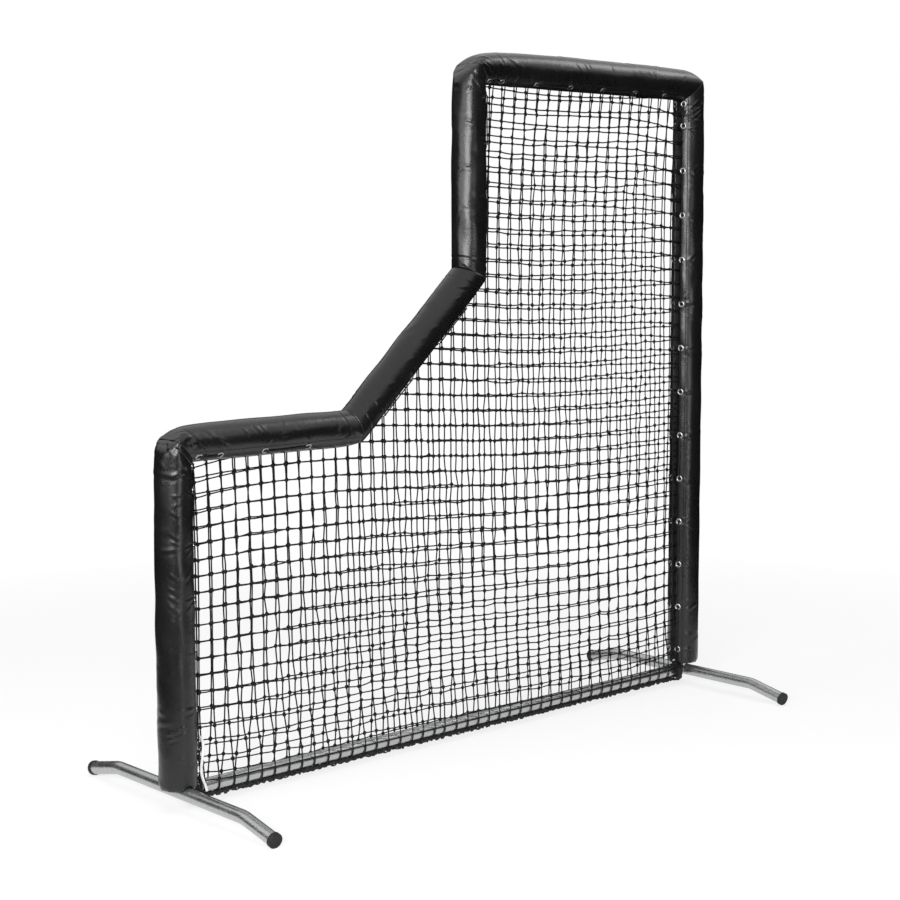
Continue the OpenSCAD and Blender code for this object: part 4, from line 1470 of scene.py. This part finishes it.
class LSCREEN_OT_lashings(bpy.types.Operator):
    """Ties each end of the hem to the rail"""
    bl_idname = "lscreen.lashings"
    bl_label = "Lashings"

    def execute(self, context):
        setup = context.scene.lscreen.netting
        material = bpy.data.materials["net_twine"]
        for side, sign in (("left", 1), ("right", -1)):
            rng = random.Random(30 + sign)
            start, r = -HALF + 0.028, TUBE_R + 0.0036
            routes = [[Vector((sign * (start + 0.0064 * a / (2 * math.pi)),
                               r * math.cos(a), RAIL_Z + r * math.sin(a)))
                       for a in np.linspace(0, 8 * math.pi, 97)]]
            for k in range(4):
                x = sign * (start + 0.004 + 0.006 * k)
                low = 0.026 - rng.uniform(0, 0.008)
                routes.append(smooth_route([
                    (x, -r - 0.002, RAIL_Z + 0.012),
                    (x + rng.uniform(-0.003, 0.003), -r - 0.003, RAIL_Z - 0.006),
                    (x, -0.018, low), (x + sign * 0.008, -0.006, 0.018),
                    (x + sign * 0.014, 0.004, 0.022)], 5))
            cords = swept_cords("turns", routes, 0.0050, sides=8)
            knots = [posed((sign * (start + 0.006 + 0.007 * k), -0.020,
                            0.030 + 0.004 * (k % 2)), k, "Y", 1.5) for k in range(3)]
            tied = copies(net_knot(setup.knot), "knots", knots)
            piece = join([cords, tied], "corner_tie_" + side)
            dress(piece, material, "lashing_" + side)
        return {"FINISHED"}


class LSCREEN_OT_white_tie(bpy.types.Operator):
    """Hangs the loose end of white cord beside the left foot"""
    bl_idname = "lscreen.white_tie"
    bl_label = "White Tie"

    def execute(self, context):
        setup = context.scene.lscreen.cords
        # In millimetres, x from the axis of the left upright.
        spots = [
            (30, -2, 200), (40, -2, 200), (50, -3, 200), (57, -7, 199), (62, -14, 196),
            (63, -23, 190), (62, -31, 181), (59, -37, 169), (55, -40, 155), (53, -40, 140),
            (51, -39, 124), (50, -38, 108), (52, -38, 92), (57, -39, 75), (63, -39, 60),
            (68, -38, 46),
        ]
        route = [(x / 1000 - HALF, y / 1000, z / 1000) for x, y, z in spots]
        route = smooth_route(route, 4)
        piece = swept_cords("white_cord_end", [route], setup.tie_width, sides=12)
        material = braid_finish("white_cord", setup.tie_colour, 0.0060, 0.6)
        dress(piece, material, "white_tie")
        length = sum(float(np.linalg.norm(b - a)) for a, b in zip(route, route[1:]))
        return {"FINISHED"}


class LSCREEN_PT_panel(bpy.types.Panel):
    """Lists the pieces of the screen and their settings"""
    bl_idname = "LSCREEN_PT_panel"
    bl_label = "L-Screen"
    bl_space_type = "VIEW_3D"
    bl_region_type = "UI"
    bl_category = "L-Screen"

    def draw(self, context):
        setup = context.scene.lscreen
        for title, group in (("Pads", setup.pads), ("Netting", setup.netting),
                             ("Cords", setup.cords), ("Metal", setup.metal),
                             ("Stage", setup.stage)):
            box = self.layout.box()
            box.label(text=title)
            for prop in group.bl_rna.properties:
                if not prop.is_readonly and prop.identifier != "name":
                    box.prop(group, prop.identifier)
        for operator in OPERATORS:
            self.layout.operator(operator.bl_idname)


SETTINGS = (PadSettings, NettingSettings, CordSettings, MetalSettings, StageSettings,
            ScreenSettings)
OPERATORS = (
    LSCREEN_OT_stage, LSCREEN_OT_white_tie, LSCREEN_OT_tubes, LSCREEN_OT_fasteners,
    LSCREEN_OT_foot_caps, LSCREEN_OT_foams, LSCREEN_OT_covers, LSCREEN_OT_eyelets,
    LSCREEN_OT_laces, LSCREEN_OT_netting, LSCREEN_OT_hem, LSCREEN_OT_lashings,
)


def register():
    for cls in SETTINGS + OPERATORS + (LSCREEN_PT_panel,):
        bpy.utils.register_class(cls)
    bpy.types.Scene.lscreen = PointerProperty(type=ScreenSettings)


def unregister():
    del bpy.types.Scene.lscreen
    for cls in reversed(SETTINGS + OPERATORS + (LSCREEN_PT_panel,)):
        bpy.utils.unregister_class(cls)


def main():
    register()
    bpy.ops.lscreen.stage()
    bpy.ops.lscreen.white_tie()
    bpy.ops.lscreen.tubes()
    bpy.ops.lscreen.fasteners()
    bpy.ops.lscreen.foot_caps()
    bpy.ops.lscreen.foams()
    bpy.ops.lscreen.covers()
    bpy.ops.lscreen.eyelets()
    bpy.ops.lscreen.laces()
    bpy.ops.lscreen.netting()
    bpy.ops.lscreen.hem()
    bpy.ops.lscreen.lashings()
    clear_selection()


if __name__ == "__main__":
    main()
